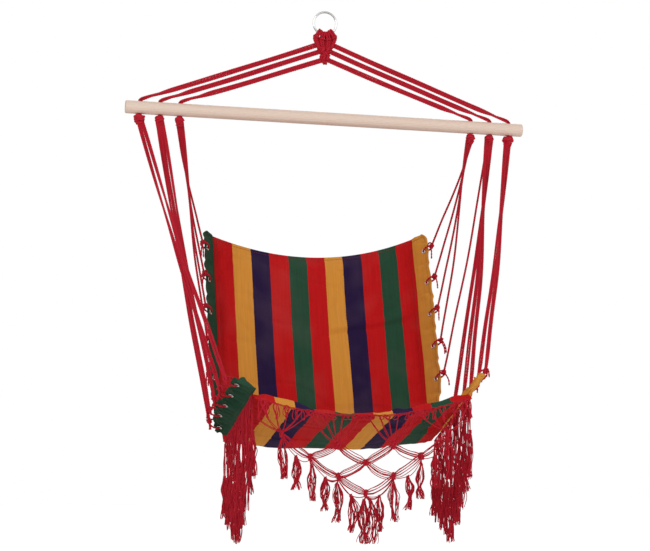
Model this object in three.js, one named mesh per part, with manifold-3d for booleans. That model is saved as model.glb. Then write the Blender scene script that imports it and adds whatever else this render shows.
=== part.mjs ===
// Hammock chair: a padded cloth seat and back hung on cords from a wooden spreader bar.
// Millimetres, +Z up, -Y towards the front of the seat, +X to the right of someone looking at the front.
// The origin is the inside top of the steel ring, the point that the whole chair hangs from.
import * as THREE from "three";
import { mergeVertices } from "three/addons/utils/BufferGeometryUtils.js";
import Module from "manifold-3d";

const wasm = await Module();
wasm.setup();

// Driving dimensions
const runningGap = 0.3; // left between pieces that touch on the real chair
const weldTolerance = 0.04; // slivers finer than this are merged after a join or cut
const pointTolerance = 0.001; // points closer than this are one point
const ringOuterDia = 63;
const ringWireDia = 6;

const ropeDia = 5; // one cord of the hanging ropes
const ropeCords = 3; // cords side by side in each upper rope
const hitchCount = 4;
const hitchPitch = 11; // between the hitches along the ring's wire
const hitchWidth = 10;
const hitchSlacks = [0.8, 2.7]; // bore over the wire, inner and outer hitches, so that the chair can swing
const crownDrops = { band: 22, upperKnots: 37, lowerKnots: 55, tip: 76 }; // below the ring's wire
const crownWidths = { band: 44, upperKnots: 34, lowerKnots: 29 };
const ropeStarts = [
  { reach: 21, drop: 26 },
  { reach: 15.9, drop: 43 },
  { reach: 12.2, drop: 65 },
]; // where each upper rope leaves the crown, outermost hole first

const barLength = 1000;
const barDia = 32;
const barEdgeRadius = 3;
const barDrop = 264; // from the ring's bearing point to the bar's axis
const barTiltDeg = 1.8; // the left end hangs higher
const barDrift = 6; // the bar hangs this far right of the ring
const holeEdgeDistance = 35; // from the bar's end to the outermost hole
const holePitch = 49;
const holeDia = 11;
const stopperHeight = 25;
const stopperWidths = [28, 22, 22]; // outermost first

const cordDia = 5.2; // one cord of the seat's suspension
const cordBow = 5; // how far a taut cord bellies out at mid length
const cordWhipDia = 9; // the binding where four cords leave a stopper knot
const asideShare = 0.55; // how far a lone cord leaves its stopper knot behind the others
const asideGap = 0.9; // between that lone cord's top and its stopper knot
const whipClearances = [0.5, 0.3, 0.3]; // below each stopper knot, outermost first

const stripeCount = 11;
const stripeWidth = 48;
const seatDrift = 18; // the seat hangs this far right of the ring
const creaseSetback = 51; // of the fold between seat and back, behind the ring
const creaseDrop = 1078; // below the ring's bearing point
const creaseCornerRise = 16;
const creaseGap = 11; // between the pads at the fold
const backHeight = 520; // along the slope, at the middle
const backReclineDeg = 20.5;
const backTopSag = 57; // the top edge dips between its corners
const backBelly = 14;
const seatDepth = 448;
const seatRiseDeg = 12;
const seatFrontSag = 54;
const seatFrontChord = 502;
const padThickness = 18;
const padEdgeThickness = 7;
const padStitchDepth = 1.4; // each stripe's crown above its borders

const flapWidth = 52;
const flapThickness = 2.6;
const backFlapNarrowWidth = 20; // where a flap is gathered into the corner by the fold
const seatFlapNarrowWidth = 34;
const flapTaperLength = 100;
const flapFold = 4; // the waves between eyelets
const backFlapTurnDeg = 60; // turned forward from the back's plane
const leftSeatFlapTurnDeg = 28; // turned up from the seat's plane
const rightSeatFlapTurnDeg = 50;
const backFlapReach = 3.8; // from the middle of the pad's edge to the flap
const leftSeatFlapReach = 1.7;
const rightSeatFlapReach = 2.4;
const backFlapStart = 34; // from the fold to the flap's lower end
const seatFlapStart = 62; // from the fold to the flap's rear end

const eyeletsPerFlap = 5;
const eyeletOuterDia = 13.4;
const eyeletBoreDia = 8.6;
const eyeletFlange = 0.8;
const eyeletBarrelGap = 0.6; // round an eyelet's barrel in the cloth
const eyeletFlatReach = 10.05; // the cloth stays flat this far each way from an eyelet
const eyeletInset = 16; // from the flap's outer edge
const backEyeletStart = 106; // from a flap's end by the fold to its first eyelet
const seatEyeletStart = 32;
const backEyeletEndMargin = 48; // from a flap's far end to its last eyelet
const seatEyeletEndMargin = 32;

const tieLoopLength = 31; // from the eyelet's bore to the tie knot
const tieLoopHeight = 17;
const tieLoopSeat = 1.4; // how far the loop bears past the middle of the eyelet
const tieOutwardShare = 0.3; // how far each tie turns from the flap's own way towards the bar
const tieKnotDia = 14;

const fringeCordDia = 3.4;
const fringeHeadDrop = 0.8; // the side fringes' heading cords below the pad's edge
const netKnotDia = 9;
const tasselTopDia = 6;
const tasselWaistDia = 12;
const tasselEndDia = 19;
const tasselNeckDrop = 18; // below the knot that a tassel hangs from
const frontNet = {
  pitch: 64, // between columns of knots
  wing: 3, // columns each side of the middle one
  tasselsPerColumn: 2,
  rowDrops: [0, 66, 100, 134, 168], // of each row of knots below the heading cord
  lift: 30, // how far the outer columns ride up with the hem
  netDepth: 170,
  netEndDepth: 68,
  depth: 283, // to the end of the longest tassel
  endDepth: 140,
};
const sideNet = {
  pitch: 48,
  wing: 4,
  tasselsPerColumn: 1,
  rowDrops: [0, 42, 84, 126],
  lift: 0,
  netDepth: 150,
  netEndDepth: 66,
  depth: 292,
  endDepth: 190,
};
const frontHeadDrop = 8; // the front net's heading cord below the seat's lowest hem
const hemLoopPitch = 60;
const strandSeatShare = 0.86; // of a strand's diameter, between two crossing strands' middles

// Facets round each kind of round shape, and steps along the sheets: few, so that each piece stays light
const facets = {
  ringWire: 8,
  ring: 24,
  bar: 18,
  barHole: 10,
  hitch: 8,
  hitchColumn: 5,
  crownKnot: 6,
  crownStem: 6,
  ropeEdge: 3,
  ropeInHole: 8,
  stopper: 7,
  eyelet: 8,
  cord: 5,
  whip: 6,
  tieLoop: 4,
  tieLoopLegs: 8,
  heading: 4,
  strand: 3,
  tassel: 5,
};
const padRows = 8;
const flapColumns = 2;

// Colours taken from the cloth, cords, wood and metal
const finishes = {
  steel: { color: 0xc9c9c6, roughness: 0.22, metalness: 1 },
  nickel: { color: 0xd0d0cc, roughness: 0.3, metalness: 1 },
  beech: { color: 0xe6cdb0, roughness: 0.6, metalness: 0 },
  cord: { color: 0xae1f32, roughness: 0.9, metalness: 0 },
  cloth: { color: 0xc41f26, roughness: 0.95, metalness: 0 },
  greenCloth: { color: 0x2f5540, roughness: 0.95, metalness: 0 },
  ochreCloth: { color: 0xd39a3c, roughness: 0.95, metalness: 0 },
};

// Small helpers
const V = (x, y, z) => new THREE.Vector3(x, y, z);
const up = V(0, 0, 1);
const radians = THREE.MathUtils.degToRad;
const lerp = THREE.MathUtils.lerp;
const between = (a, b, share) => a.clone().lerp(b, share);
const sides = [
  { name: "left", sign: -1 },
  { name: "right", sign: 1 },
];

const evenShares = (count) => Array.from({ length: count + 1 }, (_, i) => i / count);

const toSolid = (geometry) => {
  const plain = geometry.clone();
  plain.deleteAttribute("normal");
  plain.deleteAttribute("uv");
  const merged = mergeVertices(plain, pointTolerance);
  return new wasm.Manifold(
    new wasm.Mesh({
      numProp: 3,
      vertProperties: new Float32Array(merged.attributes.position.array),
      triVerts: new Uint32Array(merged.index.array),
    }),
  );
};

const toGeometry = (solid) => {
  const mesh = solid.simplify(weldTolerance).getMesh();
  const geometry = new THREE.BufferGeometry();
  const places = new Float32Array(mesh.vertProperties);
  geometry.setAttribute("position", new THREE.BufferAttribute(places, mesh.numProp));
  geometry.setIndex(new THREE.BufferAttribute(new Uint32Array(mesh.triVerts), 1));
  return geometry;
};

const join = (geometries) => toGeometry(wasm.Manifold.union(geometries.map(toSolid)));
const cut = (geometry, tools) => {
  const removed = wasm.Manifold.union(tools.map(toSolid));
  return toGeometry(toSolid(geometry).subtract(removed));
};

const chair = new THREE.Group();
const addPiece = (name, geometry, finish) => {
  const mesh = new THREE.Mesh(geometry, new THREE.MeshStandardMaterial(finishes[finish]));
  mesh.name = name;
  chair.add(mesh);
};

// A tube of constant section along a curve through the given points
const tube = (points, diameter, tubeSides, steps) => {
  const section = new THREE.Shape(
    Array.from({ length: tubeSides }, (_, i) => {
      const turn = (2 * Math.PI * i) / tubeSides;
      return new THREE.Vector2(Math.cos(turn), Math.sin(turn)).multiplyScalar(diameter / 2);
    }),
  );
  const path = points.length > 2 ? new THREE.CatmullRomCurve3(points) : new THREE.LineCurve3(...points);
  return new THREE.ExtrudeGeometry(section, { steps, extrudePath: path });
};

// A ball squashed to the given width and height, with its height along an axis
const knot = (centre, width, height, axis, detail) => {
  const ball = new THREE.SphereGeometry(1, detail, detail - 2);
  ball.scale(width / 2, height / 2, width / 2);
  ball.applyQuaternion(new THREE.Quaternion().setFromUnitVectors(V(0, 1, 0), axis.clone().normalize()));
  return ball.translate(centre.x, centre.y, centre.z);
};

const smallKnot = (centre, diameter) =>
  new THREE.IcosahedronGeometry(diameter / 2, 0).translate(centre.x, centre.y, centre.z);

// A ring turned about an axis from a closed profile of [radius, height] points
const turnedRing = (profile, segments, centre, axis) => {
  const closed = [...profile, profile[0]].map(([radius, height]) => new THREE.Vector2(radius, height));
  const ring = new THREE.LatheGeometry(closed, segments);
  ring.applyQuaternion(new THREE.Quaternion().setFromUnitVectors(V(0, 1, 0), axis.clone().normalize()));
  return ring.translate(centre.x, centre.y, centre.z);
};

const nudgeShare = 0.01; // for taking a surface's slope

// A closed sheet: a grid of middle points, given a thickness along its own normals
const sheet = (columnShares, rowShares, pointAt, thicknessAt) => {
  const columns = columnShares.length - 1;
  const rows = rowShares.length - 1;
  const faces = [[], []];
  for (const b of rowShares) {
    for (const a of columnShares) {
      const alongA = pointAt(a + nudgeShare, b).sub(pointAt(a - nudgeShare, b));
      const alongB = pointAt(a, b + nudgeShare).sub(pointAt(a, b - nudgeShare));
      const offset = alongA.cross(alongB).setLength(thicknessAt(a, b) / 2);
      faces[0].push(pointAt(a, b).add(offset));
      faces[1].push(pointAt(a, b).sub(offset));
    }
  }
  const count = faces[0].length;
  const at = (i, j) => j * (columns + 1) + i;
  const index = [];
  const quad = (p, q, r, s) => index.push(p, q, r, p, r, s);
  for (let j = 0; j < rows; j++) {
    for (let i = 0; i < columns; i++) {
      quad(at(i, j), at(i + 1, j), at(i + 1, j + 1), at(i, j + 1));
      quad(count + at(i, j), count + at(i, j + 1), count + at(i + 1, j + 1), count + at(i + 1, j));
    }
  }
  for (let i = 0; i < columns; i++) {
    quad(count + at(i, 0), count + at(i + 1, 0), at(i + 1, 0), at(i, 0));
    quad(at(i, rows), at(i + 1, rows), count + at(i + 1, rows), count + at(i, rows));
  }
  for (let j = 0; j < rows; j++) {
    quad(at(0, j), at(0, j + 1), count + at(0, j + 1), count + at(0, j));
    quad(count + at(columns, j), count + at(columns, j + 1), at(columns, j + 1), at(columns, j));
  }
  const geometry = new THREE.BufferGeometry().setFromPoints(faces.flat());
  geometry.setIndex(index);
  return geometry;
};

// Ring
const ringMeanRadius = (ringOuterDia - ringWireDia) / 2;
const ringCentre = V(0, 0, ringWireDia - ringOuterDia / 2);
const wireBottom = V(0, 0, ringCentre.z - ringMeanRadius);
const hangingRing = new THREE.TorusGeometry(ringMeanRadius, ringWireDia / 2, facets.ringWire, facets.ring);
hangingRing.rotateX(radians(90));
hangingRing.translate(ringCentre.x, ringCentre.y, ringCentre.z);
addPiece("hanging_ring", hangingRing, "steel");

// Bar, with one hole for each rope
const barAxis = V(Math.cos(radians(barTiltDeg)), 0, -Math.sin(radians(barTiltDeg)));
const barDown = V(barAxis.z, 0, -barAxis.x);
const barCentre = V(barDrift, 0, -barDrop);
const onBar = (along) => barCentre.clone().addScaledVector(barAxis, along);
const holePlaces = [0, 1, 2].map((i) => barLength / 2 - holeEdgeDistance - i * holePitch);
const barProfile = [
  [0, -barLength / 2],
  [barDia / 2 - barEdgeRadius, -barLength / 2],
  [barDia / 2, barEdgeRadius - barLength / 2],
  [barDia / 2, barLength / 2 - barEdgeRadius],
  [barDia / 2 - barEdgeRadius, barLength / 2],
  [0, barLength / 2],
].map(([radius, height]) => new THREE.Vector2(radius, height));
const barBody = new THREE.LatheGeometry(barProfile, facets.bar);
barBody.applyQuaternion(new THREE.Quaternion().setFromUnitVectors(V(0, 1, 0), barAxis));
barBody.translate(barCentre.x, barCentre.y, barCentre.z);
const holeTools = sides.flatMap(({ sign }) =>
  holePlaces.map((along) => {
    const middle = onBar(sign * along);
    const reach = barDown.clone().multiplyScalar(barDia);
    return tube([middle.clone().sub(reach), middle.clone().add(reach)], holeDia, facets.barHole, 1);
  }),
);
addPiece("spreader_bar", cut(barBody, holeTools), "beech");

// Crown: hitches on the ring's wire, columns gathered under a band, and two rows of knots below
const belowWire = (x, drop) => V(x, 0, wireBottom.z - drop);
const crownPieces = [];
for (let i = 0; i < hitchCount; i++) {
  const turn = ((i - (hitchCount - 1) / 2) * hitchPitch) / ringMeanRadius;
  const outer = i === 0 || i === hitchCount - 1;
  const bore = (ringWireDia / 2 + hitchSlacks[outer ? 1 : 0]) / Math.cos(Math.PI / facets.hitch);
  const onWire = V(ringMeanRadius * Math.sin(turn), 0, ringCentre.z - ringMeanRadius * Math.cos(turn));
  const profile = [
    [bore, -hitchWidth / 2],
    [bore + ropeDia, -hitchWidth / 2],
    [bore + ropeDia, hitchWidth / 2],
    [bore, hitchWidth / 2],
  ];
  crownPieces.push(turnedRing(profile, facets.hitch, onWire, V(Math.cos(turn), 0, Math.sin(turn))));
  const outOfRing = V(Math.sin(turn), 0, -Math.cos(turn));
  const columnTop = onWire.clone().addScaledVector(outOfRing, bore + ropeDia / 2);
  const columnFoot = belowWire((onWire.x * crownWidths.upperKnots) / crownWidths.band, crownDrops.upperKnots);
  crownPieces.push(tube([columnTop, columnFoot], hitchWidth, facets.hitchColumn, 1));
}
const band = knot(belowWire(0, crownDrops.band), crownWidths.band, ropeDia * 2, up, facets.hitch);
crownPieces.push(band.scale(1, ropeDia / hitchWidth, 1));
for (const row of ["upperKnots", "lowerKnots"]) {
  for (const sign of [-1, 1]) {
    const width = crownWidths[row] / 2 + ropeDia / 2;
    const centre = belowWire((sign * (crownWidths[row] - width)) / 2, crownDrops[row]);
    crownPieces.push(knot(centre, width, width, up, facets.crownKnot));
  }
}
const stem = [belowWire(0, crownDrops.upperKnots), belowWire(0, crownDrops.tip)];
crownPieces.push(tube(stem, ropeDia * 2, facets.crownStem, 1));
addPiece("crown_knot", join(crownPieces), "cord");

// Upper ropes: each a flat band of cords from the crown to its hole, through it, and a stopper knot below
const ropeInHoleDia = holeDia - 2 * runningGap;
const stopperOffset = barDia / 2 + runningGap + stopperHeight / 2;
const stopperCentre = (sign, i) => onBar(sign * holePlaces[i]).addScaledVector(barDown, stopperOffset);
const bandShape = () => {
  const shape = new THREE.Shape();
  const radius = ropeDia / 2;
  const wide = (ropeCords - 1) * radius;
  shape.absarc(0, wide, radius, 0, Math.PI, false);
  shape.absarc(0, -wide, radius, Math.PI, 2 * Math.PI, false);
  return shape;
};
for (const { name, sign } of sides) {
  holePlaces.forEach((along, i) => {
    const start = belowWire(sign * ropeStarts[i].reach, ropeStarts[i].drop);
    const mouthRise = (barDia + ropeCords * ropeDia) / 2 + runningGap;
    const mouth = onBar(sign * along).addScaledVector(barDown, -mouthRise);
    const band = new THREE.ExtrudeGeometry(bandShape(), {
      steps: 1,
      curveSegments: facets.ropeEdge,
      extrudePath: new THREE.LineCurve3(start, mouth),
    });
    const throughHole = tube([mouth, stopperCentre(sign, i)], ropeInHoleDia, facets.ropeInHole, 1);
    const bend = smallKnot(mouth, ropeCords * ropeDia);
    const stopper = knot(stopperCentre(sign, i), stopperWidths[i], stopperHeight, barDown, facets.stopper);
    addPiece(`upper_rope_${name}_${i + 1}`, join([band, throughHole, bend, stopper]), "cord");
  });
}

// Seat and back surfaces, by shares across (-1 to 1) and along (0 at the fold, 1 at the far edge)
const padWidth = stripeCount * stripeWidth;
const crease = V(seatDrift, creaseSetback, -creaseDrop);
const recline = radians(backReclineDeg);
const rise = radians(seatRiseDeg);
const backUp = V(0, Math.sin(recline), Math.cos(recline));
const backOut = V(0, -Math.cos(recline), Math.sin(recline));
const seatForward = V(0, -Math.cos(rise), Math.sin(rise));
const seatUp = V(0, Math.sin(rise), Math.cos(rise));
const backAt = (across, along) => {
  const height = creaseGap / 2 + along * (backHeight - creaseGap / 2 + backTopSag * across ** 2);
  const belly = backBelly * Math.sin(Math.PI * along) * (1 - across ** 2);
  return crease
    .clone()
    .add(V((across * padWidth) / 2, 0, 0))
    .addScaledVector(backUp, height + creaseCornerRise * across ** 2 * (1 - along))
    .addScaledVector(backOut, -belly);
};
const seatAt = (across, along) => {
  const half = lerp(padWidth, seatFrontChord, along) / 2;
  const lift = across ** 2 * lerp(creaseCornerRise, seatFrontSag, along);
  return crease
    .clone()
    .add(V(across * half, 0, 0))
    .addScaledVector(seatForward, creaseGap / 2 + along * (seatDepth - creaseGap / 2))
    .addScaledVector(seatUp, lift);
};
const padThicknessAt = (across, along) => {
  const crown = (1 - across ** 6) * (1 - (2 * along - 1) ** 6);
  const stripe = Math.abs(Math.sin((Math.PI * stripeCount * (across + 1)) / 2));
  return padEdgeThickness + (padThickness - padEdgeThickness) * crown - padStitchDepth * (1 - stripe) * crown;
};
const pad = (surface, flip) =>
  sheet(
    evenShares(stripeCount * 2),
    evenShares(padRows),
    (a, b) => surface(flip * (2 * a - 1), b),
    (a, b) => padThicknessAt(2 * a - 1, b),
  );
addPiece("back_pad", pad(backAt, 1), "cloth");
addPiece("seat_pad", pad(seatAt, -1), "cloth");

// Flaps: cloth edges turned towards the cords, each with a row of eyelets
const flapSpecs = [
  {
    part: "back",
    surface: backAt,
    normal: backOut,
    length: backHeight,
    start: backFlapStart,
    turnDeg: { left: backFlapTurnDeg, right: backFlapTurnDeg },
    reach: { left: backFlapReach, right: backFlapReach },
    narrowWidth: backFlapNarrowWidth,
    firstEyelet: backEyeletStart,
    endMargin: backEyeletEndMargin,
  },
  {
    part: "seat",
    surface: seatAt,
    normal: seatUp,
    length: seatDepth,
    start: seatFlapStart,
    turnDeg: { left: leftSeatFlapTurnDeg, right: rightSeatFlapTurnDeg },
    reach: { left: leftSeatFlapReach, right: rightSeatFlapReach },
    narrowWidth: seatFlapNarrowWidth,
    firstEyelet: seatEyeletStart,
    endMargin: seatEyeletEndMargin,
  },
];
const flapHoleDia = eyeletBoreDia + eyeletFlange + 2 * eyeletBarrelGap;
const smooth = (share) => THREE.MathUtils.smoothstep(share, 0, 1);
const makeFlap = (spec, { name, sign }) => {
  const turn = radians(spec.turnDeg[name]);
  const outward = V(sign * Math.cos(turn), 0, 0).addScaledVector(spec.normal, Math.sin(turn));
  const startShare = spec.start / spec.length;
  const flapLength = spec.length - spec.start;
  const eyeletStep = (flapLength - spec.firstEyelet - spec.endMargin) / (eyeletsPerFlap - 1);
  const widthAt = (b) => lerp(spec.narrowWidth, flapWidth, smooth((b * flapLength) / flapTaperLength));
  const pointAt = (a, b) => {
    const along = lerp(startShare, 1, b);
    const base = spec.surface(sign, along);
    const edgeOn = spec.surface(sign, along + nudgeShare).sub(base);
    const foldWay = outward.clone().cross(edgeOn).setLength(-sign);
    const stepsAlong = Math.max((b * flapLength - spec.firstEyelet) / eyeletStep, -1 / 2);
    const fromEyelet = Math.abs(stepsAlong - Math.round(stepsAlong)) * eyeletStep;
    const fold = smooth((fromEyelet - eyeletFlatReach) / (eyeletStep / 2 - eyeletFlatReach));
    base.addScaledVector(outward, spec.reach[name] + a * widthAt(b));
    return base.addScaledVector(foldWay, a * flapFold * fold);
  };
  const eyelets = Array.from({ length: eyeletsPerFlap }, (_, k) => {
    const b = (spec.firstEyelet + k * eyeletStep) / flapLength;
    const a = 1 - eyeletInset / widthAt(b);
    const alongA = pointAt(a + nudgeShare, b).sub(pointAt(a - nudgeShare, b));
    const alongB = pointAt(a, b + nudgeShare).sub(pointAt(a, b - nudgeShare));
    return { centre: pointAt(a, b), normal: alongA.clone().cross(alongB).normalize(), outward };
  });
  const rowShares = [0, 1];
  for (let k = 0; k < eyeletsPerFlap; k++) {
    const place = spec.firstEyelet + k * eyeletStep;
    rowShares.push((place - eyeletFlatReach) / flapLength, (place + eyeletFlatReach) / flapLength);
    if (k > 0) rowShares.push((place - eyeletStep / 2) / flapLength);
  }
  if (spec.firstEyelet > flapTaperLength) {
    rowShares.push(flapTaperLength / 2 / flapLength, flapTaperLength / flapLength);
  }
  rowShares.sort((p, q) => p - q);
  const facingUp = sign > 0 ? pointAt : (a, b) => pointAt(1 - a, b);
  const cloth = sheet(evenShares(flapColumns), rowShares, facingUp, () => flapThickness);
  const holes = eyelets.map(({ centre, normal }) => {
    const reach = normal.clone().setLength(flapThickness * 2);
    return tube([centre.clone().sub(reach), centre.clone().add(reach)], flapHoleDia, facets.eyelet, 1);
  });
  return { cloth: cut(cloth, holes), eyelets };
};
const eyeletProfile = () => {
  const inner = eyeletBoreDia / 2;
  const barrel = inner + eyeletFlange / 2;
  const under = flapThickness / 2 + runningGap;
  const face = under + eyeletFlange;
  return [
    [inner, -face],
    [eyeletOuterDia / 2, -face],
    [eyeletOuterDia / 2, -under],
    [barrel, -under],
    [barrel, under],
    [eyeletOuterDia / 2, under],
    [eyeletOuterDia / 2, face],
    [inner, face],
  ];
};
const eyeletPlaces = {};
for (const spec of flapSpecs) {
  for (const side of sides) {
    const { name, sign } = side;
    const { cloth, eyelets } = makeFlap(spec, side);
    addPiece(`${spec.part}_flap_${name}`, cloth, sign < 0 ? "greenCloth" : "ochreCloth");
    eyeletPlaces[`${spec.part}_${name}`] = eyelets;
    eyelets.forEach(({ centre, normal }, k) => {
      const eyelet = turnedRing(eyeletProfile(), facets.eyelet, centre, normal);
      addPiece(`${spec.part}_eyelet_${name}_${k + 1}`, eyelet, "nickel");
    });
  }
}

// Suspension cords: bundles leave the stopper knots, and each cord ends in a tie loop through an eyelet
const tiedCord = (origin, eyelet) => {
  const pull = between(eyelet.outward, origin.clone().sub(eyelet.centre).normalize(), tieOutwardShare);
  const along = pull.clone().addScaledVector(eyelet.normal, -pull.dot(eyelet.normal)).normalize();
  const halfLoop = tieLoopLength / 2;
  const loopCentre = eyelet.centre.clone().addScaledVector(along, halfLoop - tieLoopSeat);
  const loopPoints = evenShares(facets.tieLoopLegs).map((share) => {
    const turn = (2 * share - 1) * Math.PI;
    return loopCentre
      .clone()
      .addScaledVector(along, -halfLoop * Math.cos(turn))
      .addScaledVector(eyelet.normal, (tieLoopHeight / 2) * Math.sin(turn));
  });
  const tie = eyelet.centre.clone().addScaledVector(along, tieLoopLength - tieLoopSeat);
  const middle = between(origin, tie, 0.5).add(V(Math.sign(tie.x - seatDrift) * cordBow, 0, 0));
  return [
    tube(loopPoints, cordDia, facets.tieLoop, facets.tieLoopLegs),
    smallKnot(tie, tieKnotDia),
    tube([origin, middle, tie], cordDia, facets.cord, 2),
  ];
};
const cordPlans = [
  { node: "back_cords", stopper: 2, part: "back", eyelets: [4, 3, 2, 1] },
  { node: "back_lower_cord", stopper: 1, part: "back", eyelets: [0], aside: true },
  { node: "seat_rear_cords", stopper: 1, part: "seat", eyelets: [0, 1, 2] },
  { node: "seat_front_cords", stopper: 0, part: "seat", eyelets: [3, 4] },
];
for (const { name, sign } of sides) {
  for (const plan of cordPlans) {
    const ends = plan.eyelets.map((k) => eyeletPlaces[`${plan.part}_${name}`][k]);
    const mean = ends.reduce((sum, { centre }) => sum.add(centre), V(0, 0, 0)).divideScalar(ends.length);
    const knotCentre = stopperCentre(sign, plan.stopper);
    const lean = mean.clone().sub(knotCentre).normalize();
    if (plan.aside) lean.add(V(0, asideShare, 0)).normalize();
    const whipDrop = plan.aside ? asideGap : whipClearances[plan.stopper] + cordWhipDia / 2;
    const origin = knotCentre.clone().addScaledVector(lean, stopperHeight / 2 + whipDrop);
    const whip = plan.aside ? [] : [knot(origin, cordWhipDia, cordWhipDia, lean, facets.whip)];
    const cords = ends.flatMap((eyelet) => tiedCord(origin, eyelet));
    addPiece(`${plan.node}_${name}`, join([...whip, ...cords]), "cord");
  }
}

// Fringes: a knotted net hung from a heading cord, narrowing downwards, with tassels below its lower edge
const netKnot = ({ x, y, z }) => new THREE.OctahedronGeometry(netKnotDia / 2, 0).translate(x, y, z);
const strandBetween = (from, to) => tube([from, to], fringeCordDia, facets.strand, 1);
const tasselAt = (neck, length) => {
  const profile = [
    new THREE.Vector2(0, -length),
    new THREE.Vector2(tasselEndDia / 2, -length),
    new THREE.Vector2(tasselWaistDia / 2, -length / 2),
    new THREE.Vector2(tasselTopDia / 2, 0),
    new THREE.Vector2(0, tasselTopDia / 2),
  ];
  const tassel = new THREE.LatheGeometry(profile, facets.tassel).rotateX(radians(90));
  return tassel.translate(neck.x, neck.y, neck.z);
};
const fringe = ({ middle, along, net }) => {
  const { pitch, wing, tasselsPerColumn, rowDrops, lift, netDepth, netEndDepth, depth, endDepth } = net;
  const at = (column, drop) => middle.clone().addScaledVector(along, column * pitch).add(V(0, 0, -drop));
  const wingShare = (column) => Math.min(1, Math.abs(column) / wing);
  const liftAt = (column) => lift * wingShare(column) ** 2;
  const netReach = (column) => lerp(netDepth, netEndDepth, wingShare(column));
  const knotAt = (column, row) => at(column, rowDrops[row] - (row > 0 ? liftAt(column) : 0));
  const knotted = (column, row) => (row + column) % 2 === 0;
  const held = (column, row) => Math.abs(column) <= wing && rowDrops[row] <= netReach(column);
  const lowestKnot = (column) => {
    const row = rowDrops.findLastIndex((drop, i) => held(column, i) && knotted(column, i));
    return knotAt(column, Math.max(row, 0));
  };
  const headEnd = wing + 1 / 2;
  const pieces = [tube([at(-headEnd, 0), at(headEnd, 0)], fringeCordDia, facets.heading, 1)];
  rowDrops.forEach((_, row) => {
    for (let column = -wing; column <= wing; column++) {
      if (!knotted(column, row) || !held(column, row)) continue;
      if (row > 0) pieces.push(netKnot(knotAt(column, row)));
      for (const step of [-1, 1]) {
        if (!held(column + step, row + 1)) continue;
        pieces.push(strandBetween(knotAt(column, row), knotAt(column + step, row + 1)));
      }
    }
  });
  for (let i = -wing * tasselsPerColumn; i <= wing * tasselsPerColumn; i++) {
    const column = i / tasselsPerColumn;
    const neck = at(column, netReach(column) - liftAt(column) + tasselNeckDrop);
    const end = at(column, lerp(depth, endDepth, wingShare(column)));
    const tops = new Set([Math.floor(column), Math.ceil(column)]);
    for (const top of tops) pieces.push(strandBetween(lowestKnot(top), neck));
    pieces.push(tasselAt(neck, neck.z - end.z));
  }
  return join(pieces);
};

// Front hem: loops from the pad's front edge down to the net's straight heading cord
const frontEdge = (across) => seatAt(across, 1);
const hemReach = padEdgeThickness / 2 + runningGap + fringeCordDia / 2;
const frontPlane = frontEdge(0).addScaledVector(seatForward, fringeCordDia / 2 + runningGap);
const headHeight = frontEdge(0).z - hemReach - frontHeadDrop;
const frontMiddle = V(seatDrift, frontPlane.y, headHeight);
const hemAt = (x) => {
  const across = (2 * x) / seatFrontChord;
  return frontEdge(across).addScaledVector(seatForward, fringeCordDia / 2 + runningGap);
};
const hemLoopCount = Math.floor(seatFrontChord / hemLoopPitch);
const hemEnds = (hemLoopCount * hemLoopPitch) / 2;
const hemTop = Array.from({ length: hemLoopCount + 1 }, (_, i) => hemAt(i * hemLoopPitch - hemEnds));
const hemLoops = hemTop.slice(1).flatMap((point, i) => {
  const low = between(hemTop[i], point, 0.5);
  low.y = frontPlane.y;
  low.z = headHeight + fringeCordDia * strandSeatShare + runningGap;
  return [strandBetween(hemTop[i], low), strandBetween(low, point)];
});
const hemCord = tube(hemTop, fringeCordDia, facets.heading, hemLoopCount);
addPiece("front_hem_loops", join([hemCord, ...hemLoops]), "cord");
addPiece("front_fringe", fringe({ middle: frontMiddle, along: V(1, 0, 0), net: frontNet }), "cord");

// Side fringes hang from heading cords along the seat's straight side edges
for (const { name, sign } of sides) {
  const rear = seatAt(sign, 0);
  const front = seatAt(sign, 1);
  const along = front.clone().sub(rear).normalize();
  const middle = between(rear, front, 0.5).add(V(0, 0, -hemReach - fringeHeadDrop));
  addPiece(`${name}_fringe`, fringe({ middle, along, net: sideNet }), "cord");
}

export default chair;
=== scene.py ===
"""Hammock chair: padded striped cloth hung on twisted cords from a wooden bar.

Metres, +Z up, -Y towards the front of the seat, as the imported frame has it.
"""

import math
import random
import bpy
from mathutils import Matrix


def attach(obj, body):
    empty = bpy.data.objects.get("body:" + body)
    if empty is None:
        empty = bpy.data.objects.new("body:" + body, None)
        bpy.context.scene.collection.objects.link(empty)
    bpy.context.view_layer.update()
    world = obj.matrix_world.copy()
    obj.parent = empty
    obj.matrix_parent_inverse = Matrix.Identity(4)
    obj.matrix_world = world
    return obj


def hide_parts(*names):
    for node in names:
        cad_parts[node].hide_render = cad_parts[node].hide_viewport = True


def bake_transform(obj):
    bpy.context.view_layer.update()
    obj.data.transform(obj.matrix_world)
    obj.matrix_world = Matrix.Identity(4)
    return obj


bl_info = {
    "name": "Hammock chair",
    "version": (1, 0, 0),
    "blender": (4, 5, 0),
    "location": "3D View > Sidebar > Hammock",
    "description": "Builds a cord-hung cloth chair piece by piece over its packed frame",
    "category": "Add Mesh",
}

import bmesh
import bpy
import numpy as np
from bpy.props import FloatProperty, FloatVectorProperty, IntProperty, PointerProperty
from mathutils import Matrix, Vector, noise

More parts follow.
